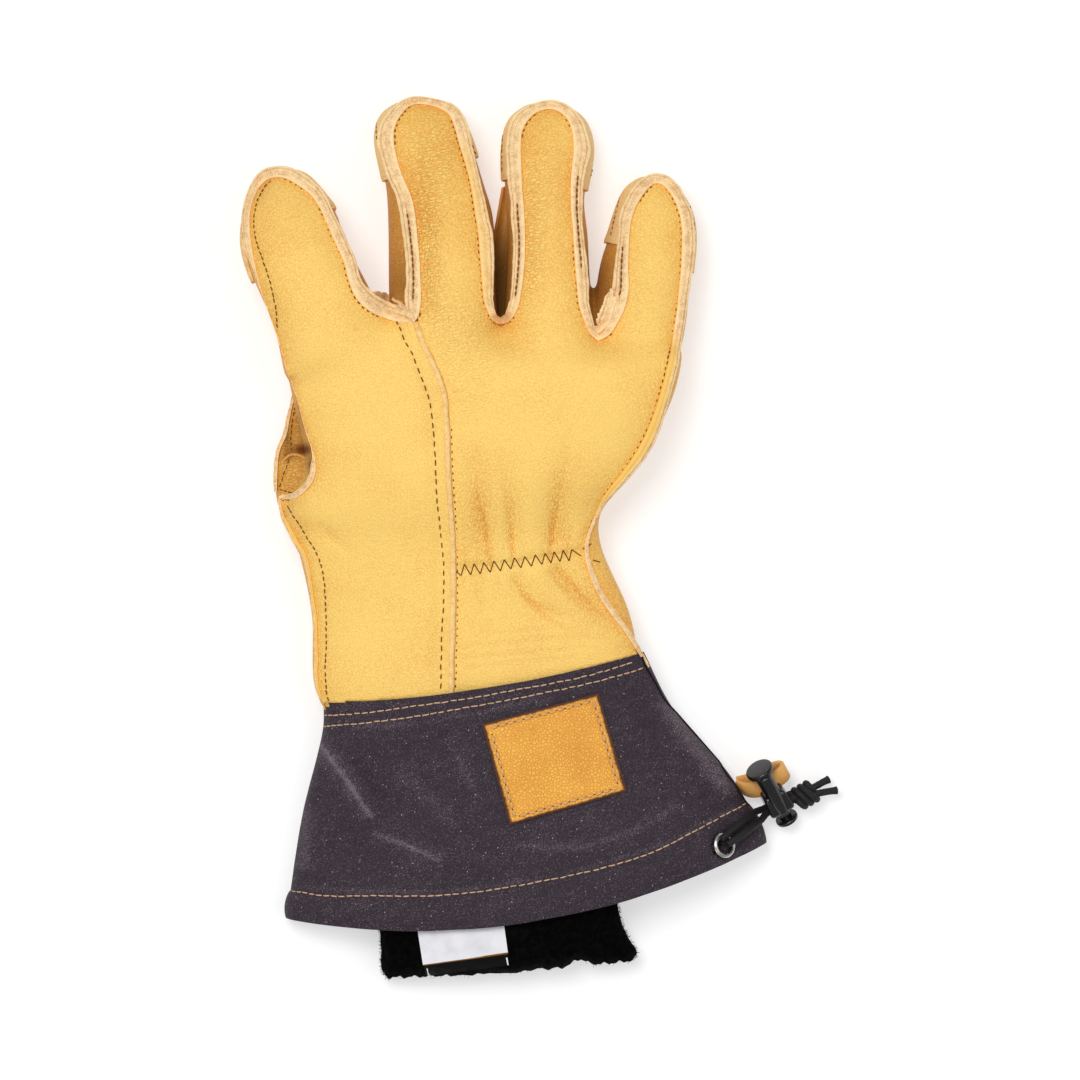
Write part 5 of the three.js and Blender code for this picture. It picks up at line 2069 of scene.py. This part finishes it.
@dataclass(frozen=True)
class Cuff:
    """The canvas gauntlet: two panels and the hem that holds the drawcord."""

    wall: float = 1.1
    step: float = 1.0
    hem_rows: int = 22
    hem_swell: float = 1.25
    under_hem: float = 6.0
    right_seam: float = 0.10
    seam_rise: float = 1.5
    front_columns: int = 190
    rear_columns: int = 150
    hem_columns: int = 341
    middle: tuple[float, float, float] = (-10, -90, 14)

    def _length_along(self) -> np.ndarray:
        """The distance of each section from the end of the hem."""
        middles = smooth_line(padded(CUFF.rows, 9), self.step)
        lengths = run_lengths((middles[:, :2] + middles[:, 2:4]) / 2)
        return lengths[-1] - lengths

    def _grid(self, start: float, end: float, count: int) -> Points:
        """Points of the canvas between two angles, with its folds."""
        grid = CUFF.grid(self.step, np.linspace(start, end, count), 0.0)
        flat = grid.reshape(-1, 3)
        upper = ease(flat[:, 2], 9, 20)
        press = sum(fold.press(flat[:, :2]) for fold in CUFF_FOLDS)
        flat[:, 2] -= press * upper
        flat += crumple(flat, 26, 0.7) + crumple(flat, 9, 0.22)
        over_seam = bell(nearest(flat[:, :2], BACK_SEAM.ground)[0], 7)
        flat[:, 2] += self.seam_rise * over_seam * upper * ease(flat[:, 1], -85, -60)
        flat[:, 2] = np.maximum(flat[:, 2], 0.05)
        return Eyelet().sunk(flat).reshape(grid.shape)

    def build(self, finishes: Finishes) -> list[Thing]:
        """Makes the panels and the hem."""
        panel = self._length_along() > self.under_hem
        seam = self.right_seam
        front = self._grid(seam, math.pi, self.front_columns)[panel]
        rear = self._grid(math.pi, 2 * math.pi + seam, self.rear_columns)[panel]
        made = []
        for name, grid in (("cuff_front", front), ("cuff_rear", rear)):
            piece = grid_mesh(name, grid, about=self.middle)
            set_attributes(piece, worn=worn(points_of(piece)))
            thicken(piece, self.wall, finishes.canvas)
            made.append(finish_piece(piece, None, Slot.WAXED_CANVAS, [name]))
        return [*made, self._hem(finishes)]

    def _below_row(self, grid: Points) -> Points:
        """The canvas below the hem's stitches, with as many points in each column."""
        line = PHOTO.place(HEM_ROW)
        above = grid[..., 1] - np.interp(grid[..., 0], line[:, 0], line[:, 1])
        order = np.arange(len(grid))
        columns = []
        for k in range(grid.shape[1]):
            marks = np.linspace(np.interp(0, -above[:, k], order), order[-1], self.hem_rows)
            column = [np.interp(marks, order, grid[:, k, axis]) for axis in range(3)]
            columns.append(np.column_stack(column))
        return np.array(columns).transpose(1, 0, 2)

    def _hem(self, finishes: Finishes) -> Thing:
        """The folded hem, swollen by the cord inside it."""
        rows = self._below_row(self._grid(0, 2 * math.pi, self.hem_columns)[:, :-1])
        share = np.sin(np.pi * np.linspace(0, 1, len(rows)))
        outward = self._outward(rows)
        swell = 0.12 + self.hem_swell * share**0.7
        sink = self.wall + 0.7 * share**0.8
        outer = rows + outward * swell[:, None, None]
        inner = (rows - outward * sink[:, None, None])[::-1]
        outer[:, :, 2] = np.maximum(outer[:, :, 2], 0.02)
        ring = np.vstack([outer, inner])
        ring = Eyelet().sunk(ring.reshape(-1, 3)).reshape(ring.shape)
        piece = grid_mesh("cuff_hem", ring.transpose(1, 0, 2), around=True, closed=True)
        set_attributes(piece, worn=worn(points_of(piece)))
        return finish_piece(piece, finishes.canvas, Slot.WAXED_CANVAS, ["cuff_hem"])

    def _outward(self, rows: Points) -> Points:
        """Unit vectors out of the cuff's wall."""
        around = np.roll(rows, -1, axis=1) - np.roll(rows, 1, axis=1)
        along = np.gradient(rows, axis=0)
        out = unit(np.cross(around, along))
        centre = rows.mean(axis=(0, 1))
        return out * np.sign(((rows - centre) * out).sum())


def crumple(points: Points, wave: float, depth: float) -> Points:
    """Soft random shifts of points, with swings of the given wavelength and depth."""
    shifts = [noise.noise_vector(Vector(p) / wave) for p in points]
    return np.array(shifts) * depth * np.array([0.4, 0.4, 1.0])


def worn(points: Points) -> np.ndarray:
    """How worn the canvas is at points, from 0 to 1."""
    total = sum(line.press(points[:, :2]) for line in WORN_LINES)
    return np.clip(total, 0, 1) * ease(points[:, 2], 4, 14)


@dataclass
class CuffTrim:
    """What is sewn on the cuff's finished pieces: its rows of stitches and the bare patch."""

    cuff: Sequence[Thing]
    rows: Sequence[Table] = (
        (
            (322, 716), (360, 713), (385, 710), (410, 706), (440, 702), (480, 696), (500, 692),
            (540, 685), (580, 677), (600, 672), (620, 666), (638, 660),
        ),
        (
            (321, 727), (360, 723), (385, 720), (420, 715), (460, 708), (500, 701), (540, 693),
            (580, 685), (620, 675), (644, 668),
        ),
        HEM_ROW,
    )
    patch: Table = ((482, 723), (598.5, 692.5), (627, 790.5), (509.5, 824))
    patch_size: float = 38.0
    patch_points: int = 90
    patch_wall: float = 1.3
    patch_lift: float = 1.45
    stitch_inset: float = 2.3
    stitch_dip: float = 0.28
    corner: float = 1.2
    seam_shadow_radius: float = 0.42
    least_height: float = 3.0

    def __post_init__(self) -> None:
        """Makes ready to find the cuff's height."""
        self.trees = [tree_of(piece) for piece in self.cuff]

    def heights(self, ground: Points) -> np.ndarray:
        """The cuff's height over points seen from above."""
        return np.max([top_of(tree, ground) for tree in self.trees], axis=0)

    def build(self, finishes: Finishes) -> list[Thing]:
        """Makes the patch and the stitches."""
        rows = ThreadWork("cuff_stitches", finishes.tan_thread, 0.25, finishes.needle_hole)
        for i, row in enumerate(self.rows):
            ground = smooth_line(PHOTO.place(row), 0.7)
            height = self.heights(ground)
            line = np.column_stack([ground, height + 0.05])[height > self.least_height]
            rows.row(line, 3.0, 2.65, 0.1, seed=140 + i)
        patch = self._patch(finishes)
        tree = tree_of(patch)
        sewn = ThreadWork("patch_stitches", finishes.patch_thread, 0.56, finishes.needle_hole)
        corners = PHOTO.place(self.patch)
        middle = corners.mean(0)
        inner = middle + (corners - middle) * (1 - self.stitch_inset / (self.patch_size / 2))
        for i, (a, b) in enumerate(zip(inner, np.roll(inner, -1, axis=0))):
            ground = even_steps(np.array([a, b]), 0.7)
            line = np.column_stack([ground, top_of(tree, ground) + 0.02])
            sewn.row(line, 3.1, 2.3, 0.06, seed=150 + i)
        # Painted shadow: a dark thread along the side seam stands for the seam's shadow line.
        side = ThreadWork("cuff_side_seam", finishes.seam_shadow_thread, self.seam_shadow_radius)
        ground = smooth_line(PHOTO.place(SIDE_SEAM), 1.0)
        height = self.heights(ground)
        side.thread(np.column_stack([ground, height + 0.1])[height > self.least_height])
        return [rows.build(), patch, sewn.build(), side.build(Slot.WAXED_CANVAS)]

    def _patch(self, finishes: Finishes) -> Thing:
        """The bare leather patch, with burnt edges."""
        count = self.patch_points
        a, b, c, d = PHOTO.place(self.patch)
        ground, u, v = quad(a, b, c, d, count, count)
        rim = np.minimum.reduce([u, 1 - u, v, 1 - v]) * self.patch_size
        height = smooth_field(self.heights(ground.reshape(-1, 2)).reshape(count, count), 6)
        height += self.patch_lift
        height -= np.clip(self.corner - rim, 0, self.corner) ** 2 * 0.35
        height -= self.stitch_dip * bell(rim - self.stitch_inset, 0.7)
        piece = grid_mesh("cuff_patch", np.dstack([ground, height]), about=(12, -80, 0))
        set_attributes(piece, rim=np.exp(-rim.ravel() / 1.25))
        thicken(piece, self.patch_wall, finishes.patch_leather)
        return finish_piece(piece, None, Slot.PATCH_LEATHER, ["cuff_patch"])


def quad(
    a: Points, b: Points, c: Points, d: Points, across: int, down: int
) -> tuple[Points, np.ndarray, np.ndarray]:
    """A grid of places between four corners seen from above.

    Args:
        a: the first corner, with the others round from it.
        b: the corner across from it.
        c: the corner down from that.
        d: the last corner, down from the first.
        across: how many points there are from the first corner to the second.
        down: how many points there are from the first corner to the last.

    Returns:
        The places, and each one's share of the way across and down.
    """
    u, v = np.meshgrid(np.linspace(0, 1, across), np.linspace(0, 1, down), indexing="ij")
    s, t = u[..., None], v[..., None]
    return (a * (1 - s) + b * s) * (1 - t) + (d * (1 - s) + c * s) * t, u, v


def top_of(tree: BVHTree, ground: Points) -> np.ndarray:
    """The height of a piece over points seen from above, or 0 where it isn't under them."""
    result = np.zeros(len(ground))
    for i, (x, y) in enumerate(ground):
        hit = tree.ray_cast(Vector((x, y, 90)), Vector((0, 0, -1)))[0]
        result[i] = hit[2] if hit is not None else 0.0
    return result


def smooth_field(field: np.ndarray, rounds: int) -> np.ndarray:
    """A grid of heights with its small bumps evened out."""
    for _ in range(rounds):
        pad = np.pad(field, 1, mode="edge")
        field = (pad[:-2, 1:-1] + pad[2:, 1:-1] + pad[1:-1, :-2] + pad[1:-1, 2:] + 2 * field) / 6
    return field


# The liner and its label


@dataclass(frozen=True)
class Liner:
    """The fleece liner, a tube that stands out of the cuff."""

    wall: float = 2.6
    step: float = 1.1
    around: int = 170
    floor: float = 0.4
    dent_x: float = 21.0
    dent: float = 2.6
    hairs: int = 9000
    hair_width: float = 0.07
    hair_length: float = 0.9
    cloth_wall: float = 0.5
    cloth_points: tuple[int, int] = (60, 24)
    flat: tuple[float, float] = (0.0311, 0.0165)
    label: Table = ((416, 918), (423, 964.5), (508, 952), (502, 908))
    band: Table = ((423, 965), (426.5, 977), (509.5, 965), (508, 951))
    label_edge: Table = ((423, 964), (423.4, 965.6), (508.3, 953.1), (508, 951.5))
    slivers: Sequence[Table] = (
        ((426.5, 968), (427.8, 976), (429.3, 976), (428, 968)),
        ((506, 957), (507.4, 964.5), (508.7, 964.5), (507.5, 957)),
    )

    def build(self, finishes: Finishes) -> list[Thing]:
        """Makes the liner and its blank label."""
        turn = np.linspace(0, 2 * np.pi, self.around, endpoint=False)
        grid = LINER.grid(self.step, turn, 0.0)
        flat = grid.reshape(-1, 3)
        flat += crumple(flat, 14, 0.9) + crumple(flat, 3.2, 0.45)
        x, lower = flat[:, 0], ease(-flat[:, 1], 138, 150)
        lumps = 0.4 * np.sin(1.1 * x) + 0.3 * np.sin(2.3 * x + 1)
        flat[:, 1] += lower * (self.dent * bell(x - self.dent_x, 3.4) + lumps)
        flat[:, 2] = np.maximum(flat[:, 2], self.floor)
        piece = grid_mesh("liner", flat.reshape(grid.shape), True, (-5, -110, 12), caps=False)
        thicken(piece, self.wall, finishes.fleece)
        finish_piece(piece, None, Slot.FLEECE, ["liner"])
        tree = tree_of(piece)
        made = [piece, self._fuzz(piece, finishes)]
        label = self._cloth("care_label", self.label, 1.25, tree, finishes.label_cloth, ["care_label"])
        band = self._cloth("label_band", self.band, 1.2, tree, finishes.band_cloth)
        made += [label, band]
        made.append(self._cloth("label_edge", self.label_edge, 1.45, tree, finishes.brown_thread))
        for i, corners in enumerate(self.slivers):
            made.append(self._cloth(f"label_lining_{i}", corners, 1.35, tree, finishes.label_cloth))
        return made

    def _cloth(
        self,
        name: str,
        corners: Sequence[Sequence[float]],
        lift: float,
        tree: BVHTree,
        finish: Finish,
        replaces: Sequence[str] = (),
    ) -> Thing:
        """A small piece of cloth that lies on the liner.

        Args:
            name: the piece's name.
            corners: its corners in pixels, from the top left round to the top right.
            lift: how far it lies over the fleece.
            tree: the liner's surface.
            finish: its material.
            replaces: the nodes that it stands for.

        Returns:
            The piece.
        """
        top_left, low_left, low_right, top_right = PHOTO.place(corners)
        size = self.cloth_points
        ground = quad(top_left, top_right, low_right, low_left, *size)[0]
        height = smooth_field(top_of(tree, ground.reshape(-1, 2)).reshape(size), 10) + lift
        piece = grid_mesh(name, np.dstack([ground, height]), about=(-20, -145, 0))
        thicken(piece, self.cloth_wall, finish)
        return finish_piece(piece, None, Slot.LABEL_CLOTH, replaces)

    def _fuzz(self, liner: Thing, finishes: Finishes) -> Thing:
        """Short hairs along the fleece where it shows."""
        rng = np.random.default_rng(5)
        middles, facing = face_middles(liner), face_normals(liner)
        shown = np.flatnonzero((middles[:, 1] < -118) & (facing[:, 2] > -0.6))
        picked = rng.choice(shown, size=self.hairs)
        points, faces = [], []
        for i, face in enumerate(picked):
            root = middles[face] + rng.uniform(-0.4, 0.4, 3) * (1, 1, 0.2)
            lean = facing[face] * rng.uniform(0.5, 1.2) + rng.uniform(-0.6, 0.6, 3)
            side = np.cross(lean, rng.uniform(-1, 1, 3))
            side *= self.hair_width / max(np.linalg.norm(side), 1e-6)
            tip = root + lean * self.hair_length
            middle = (root + tip) / 2 + rng.uniform(-0.15, 0.15, 3)
            points += [root - side, root + side, middle + side * 0.8, middle - side * 0.8, tip]
            base = 5 * i
            faces += [[base, base + 1, base + 2, base + 3], [base + 3, base + 2, base + 4]]
        piece = new_mesh("liner_pile", np.array(points), faces)
        return finish_piece(piece, finishes.fleece, Slot.FLEECE)


# The closure


@dataclass(frozen=True)
class LockFrame:
    """The cord lock's own axes: x along the cord, y along the lock, z to its front."""

    origin: tuple[float, float, float] = (97, -102, 6)
    x: tuple[float, float, float] = (0.866, 0.5, 0.0)
    y: tuple[float, float, float] = (-0.4207, 0.7288, 0.5402)
    z: tuple[float, float, float] = (0.27, -0.468, 0.8416)

    def place(self, points: Points) -> Points:
        """Points of the lock in the glove's frame."""
        points = np.asarray(points, float)
        axes = np.array([self.x, self.y, self.z])
        return np.array(self.origin) + points @ axes


LOCK = LockFrame()


class Form(Enum):
    """The primitives that the lock's parts are shaped from."""

    BLOCK = "block"
    DRUM = "drum"


@dataclass(frozen=True)
class LockPart:
    """A part of the lock: a block, or a drum that lies along the lock.

    The size is a block's width, length and depth, or a drum's radius, length and count of
    corners. The round is the width of its rounded edges, and the rows are the faces across it.
    """

    form: Form
    size: tuple[float, float, float]
    middle: tuple[float, float, float]
    round: float
    rows: int = 4
    sharp: float = 35.0

    def make(self, shape: Optional[Callable[[Thing], None]] = None) -> Thing:
        """The part in the lock's own axes, its millimetres taken as metres.

        Args:
            shape: what is done to its form before its edges are rounded.

        Returns:
            The part.
        """
        clear_selection()
        if self.form is Form.DRUM:
            radius, length, corners = self.size
            bpy.ops.mesh.primitive_cylinder_add(vertices=int(corners), radius=radius, depth=length)
            turn = Matrix.Rotation(math.radians(-90), 4, "X")
        else:
            bpy.ops.mesh.primitive_cube_add(size=1)
            turn = Matrix.Diagonal((*self.size, 1))
        thing = bpy.context.object
        thing.data.transform(turn)
        thing.data.transform(Matrix.Translation(self.middle))
        if shape is not None:
            shape(thing)
        choose(thing)
        modifier = thing.modifiers.new("Bevel", "BEVEL")
        modifier.width = self.round
        modifier.segments = self.rows
        modifier.limit_method = "ANGLE"
        modifier.angle_limit = math.radians(self.sharp)
        bpy.ops.object.modifier_apply(modifier=modifier.name)
        return thing


@dataclass(frozen=True)
class CordLock:
    """The sprung lock: a body with its barrel and cap, and a button that is pressed.

    The housing is the moulded block round the plunger's slot, the barrel the long rib on its
    front, the cap the round flange at its upper end and the bar what the leather loop passes
    under. The button has a neck and, inside the housing, a slotted paddle.
    """

    housing: LockPart = LockPart(Form.BLOCK, (9.4, 9.0, 10.9), (0, 11.1, -1.2), 1.3)
    barrel: LockPart = LockPart(Form.DRUM, (3.0, 18.0, 48), (0, 15.6, 1.8), 0.7)
    cap: LockPart = LockPart(Form.DRUM, (5.1, 2.0, 64), (0, 25.2, -1.0), 0.55)
    bar: LockPart = LockPart(Form.BLOCK, (6.0, 9.6, 2.0), (0, 19.6, -5.9), 0.6, 3)
    button: LockPart = LockPart(Form.DRUM, (4.2, 1.6, 56), (0, 0.8, -1.2), 0.5)
    neck: LockPart = LockPart(Form.DRUM, (2.3, 6.4, 40), (0, 4.4, -1.2), 0.25, 2)
    paddle: LockPart = LockPart(Form.BLOCK, (4.2, 3.2, 7.6), (0, 6.2, -1.2), 0.5, 3)
    foot: float = 1.02
    taper: tuple[float, float] = (0.16, 0.14)

    def build(self, finishes: Finishes) -> list[Thing]:
        """Makes the lock's two pieces."""
        housing = self.housing.make(self._widen_foot)
        body = [housing, *[part.make() for part in (self.barrel, self.cap, self.bar)]]
        button = [part.make() for part in (self.button, self.neck, self.paddle)]
        pieces = (("lock_barrel", body, BODY), ("lock_plunger", button, PLUNGER_BODY))
        return [self._joined(name, parts, carrier, finishes) for name, parts, carrier in pieces]

    def _joined(self, name: str, parts: Sequence[Thing], carrier: str, finishes: Finishes) -> Thing:
        """Seats parts in the glove's frame, joins them and dresses the piece."""
        for part in parts:
            flat = np.empty(len(part.data.vertices) * 3)
            part.data.vertices.foreach_get("co", flat)
            move_points(part, LOCK.place(flat.reshape(-1, 3)))
        choose(parts[0])
        for part in parts:
            part.select_set(True)
        bpy.ops.object.join()
        parts[0].name = name
        plastic = finishes.black_plastic
        return finish_piece(parts[0], plastic, Slot.BLACK_PLASTIC, [name], carrier, 35)

    def _widen_foot(self, thing: Thing) -> None:
        """Makes the housing wider at its foot."""
        bpy.ops.object.mode_set(mode="EDIT")
        bpy.ops.mesh.select_all(action="SELECT")
        bpy.ops.mesh.subdivide(number_cuts=3)
        bpy.ops.object.mode_set(mode="OBJECT")
        _, middle, level = self.housing.middle
        length = self.housing.size[1]
        for vertex in thing.data.vertices:
            share = (vertex.co.y - (middle - length / 2)) / length
            vertex.co.x *= self.foot - self.taper[0] * share**2
            vertex.co.z = level + (vertex.co.z - level) * (self.foot - self.taper[1] * share**2)


@dataclass(frozen=True)
class PullLoop:
    """The leather strip folded round the lock's bar and tied to the cuff's side."""

    route: Table = (
        (-9, -10.2), (-7.2, -6.4), (-4.4, -3.8), (0, -3.1), (4, -3.2), (7.2, -4.1),
        (8.2, -6.2), (6.4, -8.2), (2, -8.9), (-3, -9.6), (-8.6, -12),
    )
    low: float = 13.2
    width: float = 6.8
    wall: float = 1.5

    def build(self, finishes: Finishes) -> Thing:
        """Makes the strip with rounded cut edges."""
        line = smooth_line(np.array(self.route), 0.35)
        across = sideways(line)
        half = self.wall / 2
        sides = (0.3, self.width / 2, self.width - 0.3)
        shape = [(-half, up) for up in sides]
        shape += [(-half * 0.6, self.width), (half * 0.6, self.width)]
        shape += [(half, up) for up in reversed(sides)]
        shape += [(half * 0.6, 0), (-half * 0.6, 0)]
        rings = []
        for out, up in shape:
            flat = line + across * out
            rings.append(np.column_stack([flat[:, 0], np.full(len(line), self.low + up), flat[:, 1]]))
        grid = np.array(rings).transpose(1, 0, 2)
        placed = LOCK.place(grid.reshape(-1, 3)).reshape(grid.shape)
        placed += crumple(placed.reshape(-1, 3), 5, 0.25).reshape(grid.shape)
        piece = grid_mesh("pull_loop", placed, around=True)
        leather = finishes.loop_leather
        return finish_piece(piece, leather, Slot.LOOP_LEATHER, ["pull_loop"], angle=50)


@dataclass(frozen=True)
class Eyelet:
    """The nickel eyelet in the hem."""

    centre: tuple[float, float, float] = (73.5, -110.0, 21.0)
    normal: tuple[float, float, float] = (0.52, 0.12, 0.845)
    outer: float = 4.6
    hole: float = 3.1
    depth: float = 3.6

    def sunk(self, points: Points) -> Points:
        """Points of the hem's upper side, pressed under the flange and down its hole."""
        up = np.array(Vector(self.normal).normalized())
        offset = points - np.array(self.centre)
        level = offset @ up
        reach = np.linalg.norm(offset - np.outer(level, up), axis=1)
        seat = -0.75 - self.depth * (1 - ease(reach, self.hole + 0.1, self.hole + 1.0))
        share = 1 - ease(reach, self.outer + 0.5, self.outer + 8)
        near = (level > -9) & (level > seat)
        return points - np.outer(np.where(near, (level - seat) * share, 0), up)

    def build(self, finishes: Finishes) -> Thing:
        """Spins the rolled flange and its sleeve."""
        clear_selection()
        hole, rim = self.hole, self.outer
        profile = [(hole, -2.6), (hole, 0.1), (hole + 0.12, 0.45), (hole + 0.45, 0.72)]
        profile += [(hole + 0.85, 0.66), (rim - 0.22, 0.34), (rim, 0.02), (rim - 0.1, -0.2)]
        profile += [(rim - 0.6, -0.22), (hole + 0.35, -0.2), (hole + 0.35, -2.6)]
        turns = np.linspace(0, 2 * np.pi, 72, endpoint=False)
        rings = np.array([[(r * np.cos(t), r * np.sin(t), z) for r, z in profile] for t in turns])
        piece = grid_mesh("eyelet", rings, around=True, closed=True)
        up = Vector(self.normal).normalized()
        turn = np.array(up.to_track_quat("Z", "Y").to_matrix())
        points = points_of(piece) @ turn.T + np.array(self.centre)
        move_points(piece, points)
        turn_outwards(piece)
        return finish_piece(piece, finishes.nickel, Slot.NICKEL, ["eyelet"], angle=50)


@dataclass(frozen=True)
class Drawcord:
    """The braided drawcord: two strands to the lock, the knot and two tails."""

    diameter: float = 2.6
    front: Table = (
        (74.4, -109.6, 23.6), (78.2, -107.2, 22.6), (82.4, -104.4, 19.2), (86.4, -101.6, 14.2),
        (89.4, -98.6, 10.7), (93.6, -96.2, 10.6), (98.1, -93.6, 10.6), (100.2, -92.8, 9.9),
    )
    rear: Table = (
        (72.2, -107.8, 24), (75.8, -104.8, 22), (80.2, -101.6, 18.2), (84.1, -98.7, 12.6),
        (88.6, -97.1, 8.2), (92.8, -94.8, 8.2), (97.3, -92.2, 8.2), (99.6, -91.6, 8.3),
    )
    tail_front: Table = (
        (104.6, -92.4, 9.0), (108.2, -91.7, 8.4), (111.2, -91.2, 7.2), (114.4, -90.8, 6),
    )
    tail_rear: Table = (
        (104.2, -90.6, 7.4), (107.4, -89, 6.6), (109.4, -87.9, 5.8), (111.6, -86.9, 5),
    )
    tail_flare: float = 0.25
    knot_centre: tuple[float, float, float] = (102.9, -92.4, 8.6)
    knot_turns: float = 3.1
    knot_reach: float = 3.05
    knot_length: float = 7.6
    step: float = 0.22
    around: int = 32
    carriers: int = 8
    lay: float = 4.2

    def _braid(self, name: str, route: Points, flare: float = 0.0) -> Thing:
        """A braided cord along a route.

        Args:
            name: the piece's name.
            route: the cord's middle line.
            flare: how much wider its last end is.

        Returns:
            The cord.
        """
        path = smooth_line(route, self.step)
        way = unit(np.gradient(path, axis=0))
        side = unit(np.cross(way, [0.12, 0.2, 1.0]))
        turn = np.linspace(0, 2 * np.pi, self.around, endpoint=False)
        mark = np.arange(len(path)) * self.step
        s, t = np.meshgrid(mark * 2 * np.pi / self.lay, turn * self.carriers / 2, indexing="ij")
        first, second = np.abs(np.cos(t + s)), np.abs(np.cos(t - s))
        over = 0.5 + 0.5 * np.sign(np.sin(2 * t) * np.sin(2 * s))
        weave = np.maximum(first * (0.75 + 0.25 * over), second * (1 - 0.25 * over))
        end = np.exp(-(mark[-1] - mark) / 0.9) * flare
        radius = (self.diameter / 2 - 0.13) + 0.2 * weave - 0.05 + end[:, None]
        ring = rings_round(side, np.cross(side, way), self.around)
        return grid_mesh(name, path[:, None] + ring * radius[..., None], around=True)

    def build(self, finishes: Finishes) -> list[Thing]:
        """Makes the cord's pieces."""
        routes = {
            "drawcord_strand_front": self.front,
            "drawcord_strand_rear": self.rear,
            "drawcord_tail_front": self.tail_front,
            "drawcord_tail_rear": self.tail_rear,
        }
        made = {}
        for name, route in routes.items():
            piece = self._braid(name, np.array(route), self.tail_flare * ("tail" in name))
            made[name] = finish_piece(piece, finishes.cord, Slot.CORD, [name])
        knot = finish_piece(self._knot(), finishes.cord, Slot.CORD, ["drawcord_knot"])
        carried = {"front": [knot, made["drawcord_tail_front"]], "rear": [made["drawcord_tail_rear"]]}
        for strand, others in carried.items():
            name = f"drawcord_strand_{strand}"
        return [*made.values(), knot]

    def _knot(self) -> Thing:
        """A stopper knot of three turns, drawn tight, whose ends go back into it."""
        t = np.linspace(0, 1, 64)
        angle = 2 * np.pi * self.knot_turns * t + 0.9
        reach = self.knot_reach * ease(t, 0, 0.07) * (1 - ease(t, 0.93, 1))
        along = (t - 0.5) * self.knot_length - 0.9 * np.cos(angle)
        axes = np.array([LOCK.x, (-0.5, 0.866, 0), (0, 0, 1)])
        turns = np.column_stack([along, reach * np.cos(angle) * 1.12, reach * np.sin(angle)])
        return self._braid("drawcord_knot", turns @ axes + np.array(self.knot_centre))


# The studio


@dataclass(frozen=True)
class Studio:
    """The pale floor, the soft lights and the camera straight above."""

    middle: tuple[float, float] = (7.02, -0.18)
    height: float = 2500.0
    focus_height: float = 20.0
    span: float = 388.8
    sensor: float = 36.0
    glow: float = 0.5
    sky: float = 0.33

    def camera(self) -> Thing:
        """Makes the camera, which frames the glove as the photograph does."""
        data = bpy.data.cameras.new("camera")
        camera = bpy.data.objects.new("camera", data)
        bpy.context.scene.collection.objects.link(camera)
        camera.location = (self.middle[0] * MM, self.middle[1] * MM, self.height * MM)
        data.sensor_width = self.sensor
        data.lens = self.sensor * (self.height - self.focus_height) / self.span
        data.clip_end = 20
        data.dof.use_dof = False
        bpy.context.scene.camera = camera
        return camera

    def build(self) -> None:
        """Makes the floor and the lights."""
        clear_selection()
        bpy.ops.mesh.primitive_plane_add(size=6, location=(0, 0, 0))
        floor = bpy.context.object
        floor.name = "floor"
        paint = Paint("floor")
        grain = paint.noise(40, 2)
        colour = paint.mix((0.55, 0.55, 0.55), (0.54, 0.54, 0.54), grain)
        glow = paint.shader.inputs["Emission Color"]
        glow.default_value = (1.0, 1.0, 1.0, 1.0)
        floor.data.materials.append(paint.finish(colour, 0.8, None, {"Emission Strength": self.glow}))
        self._light("key", (-0.4, 0.5, 1.9), 0.8, 22)
        self._light("fill", (0.9, -0.1, 1.7), 1.2, 7)
        self._light("low", (-0.4, -1.2, 1.4), 1.0, 3)
        world = bpy.data.worlds.new("studio")
        world.use_nodes = True
        background = world.node_tree.nodes["Background"]
        background.inputs["Color"].default_value = (1.0, 1.0, 1.0, 1.0)
        background.inputs["Strength"].default_value = self.sky
        bpy.context.scene.world = world
        bpy.context.scene.view_settings.view_transform = "Standard"

    def _light(self, name: str, place: Sequence[float], size: float, power: float) -> None:
        """A soft square light that shines at the glove."""
        data = bpy.data.lights.new(name, "AREA")
        data.shape = "SQUARE"
        data.size = size
        data.energy = power
        light = bpy.data.objects.new(name, data)
        bpy.context.scene.collection.objects.link(light)
        light.location = place
        light.rotation_euler = (-Vector(place)).to_track_quat("-Z", "Y").to_euler()


def main() -> None:
    """Builds the glove and the studio."""
    noise.seed_set(NOISE_SEED)
    studio = Studio()
    studio.camera()
    finishes = Finishes()
    made = list(Drawcord().build(finishes))
    cuff = Cuff().build(finishes)
    made += cuff
    form = HandForm(cuff[0])
    back = Back(form)
    made += back.build(finishes)
    under = UnderParts(form, back.whole).build(finishes)
    made += [*under, ForkShadeSheet().build(finishes)]
    welts = Welts(form)
    made += welts.build(finishes)
    made += HandStitches(form, welts, under[-len(FINGERS):]).build(finishes)
    made += ThumbPiece().build(finishes)
    made += CuffTrim(cuff).build(finishes)
    made += Liner().build(finishes)
    made.append(Eyelet().build(finishes))
    made += CordLock().build(finishes)
    made.append(PullLoop().build(finishes))
    bpy.data.objects.remove(form.body)
    studio.build()
    log.info("%d pieces", len(made))


if __name__ == "__main__":
    main()
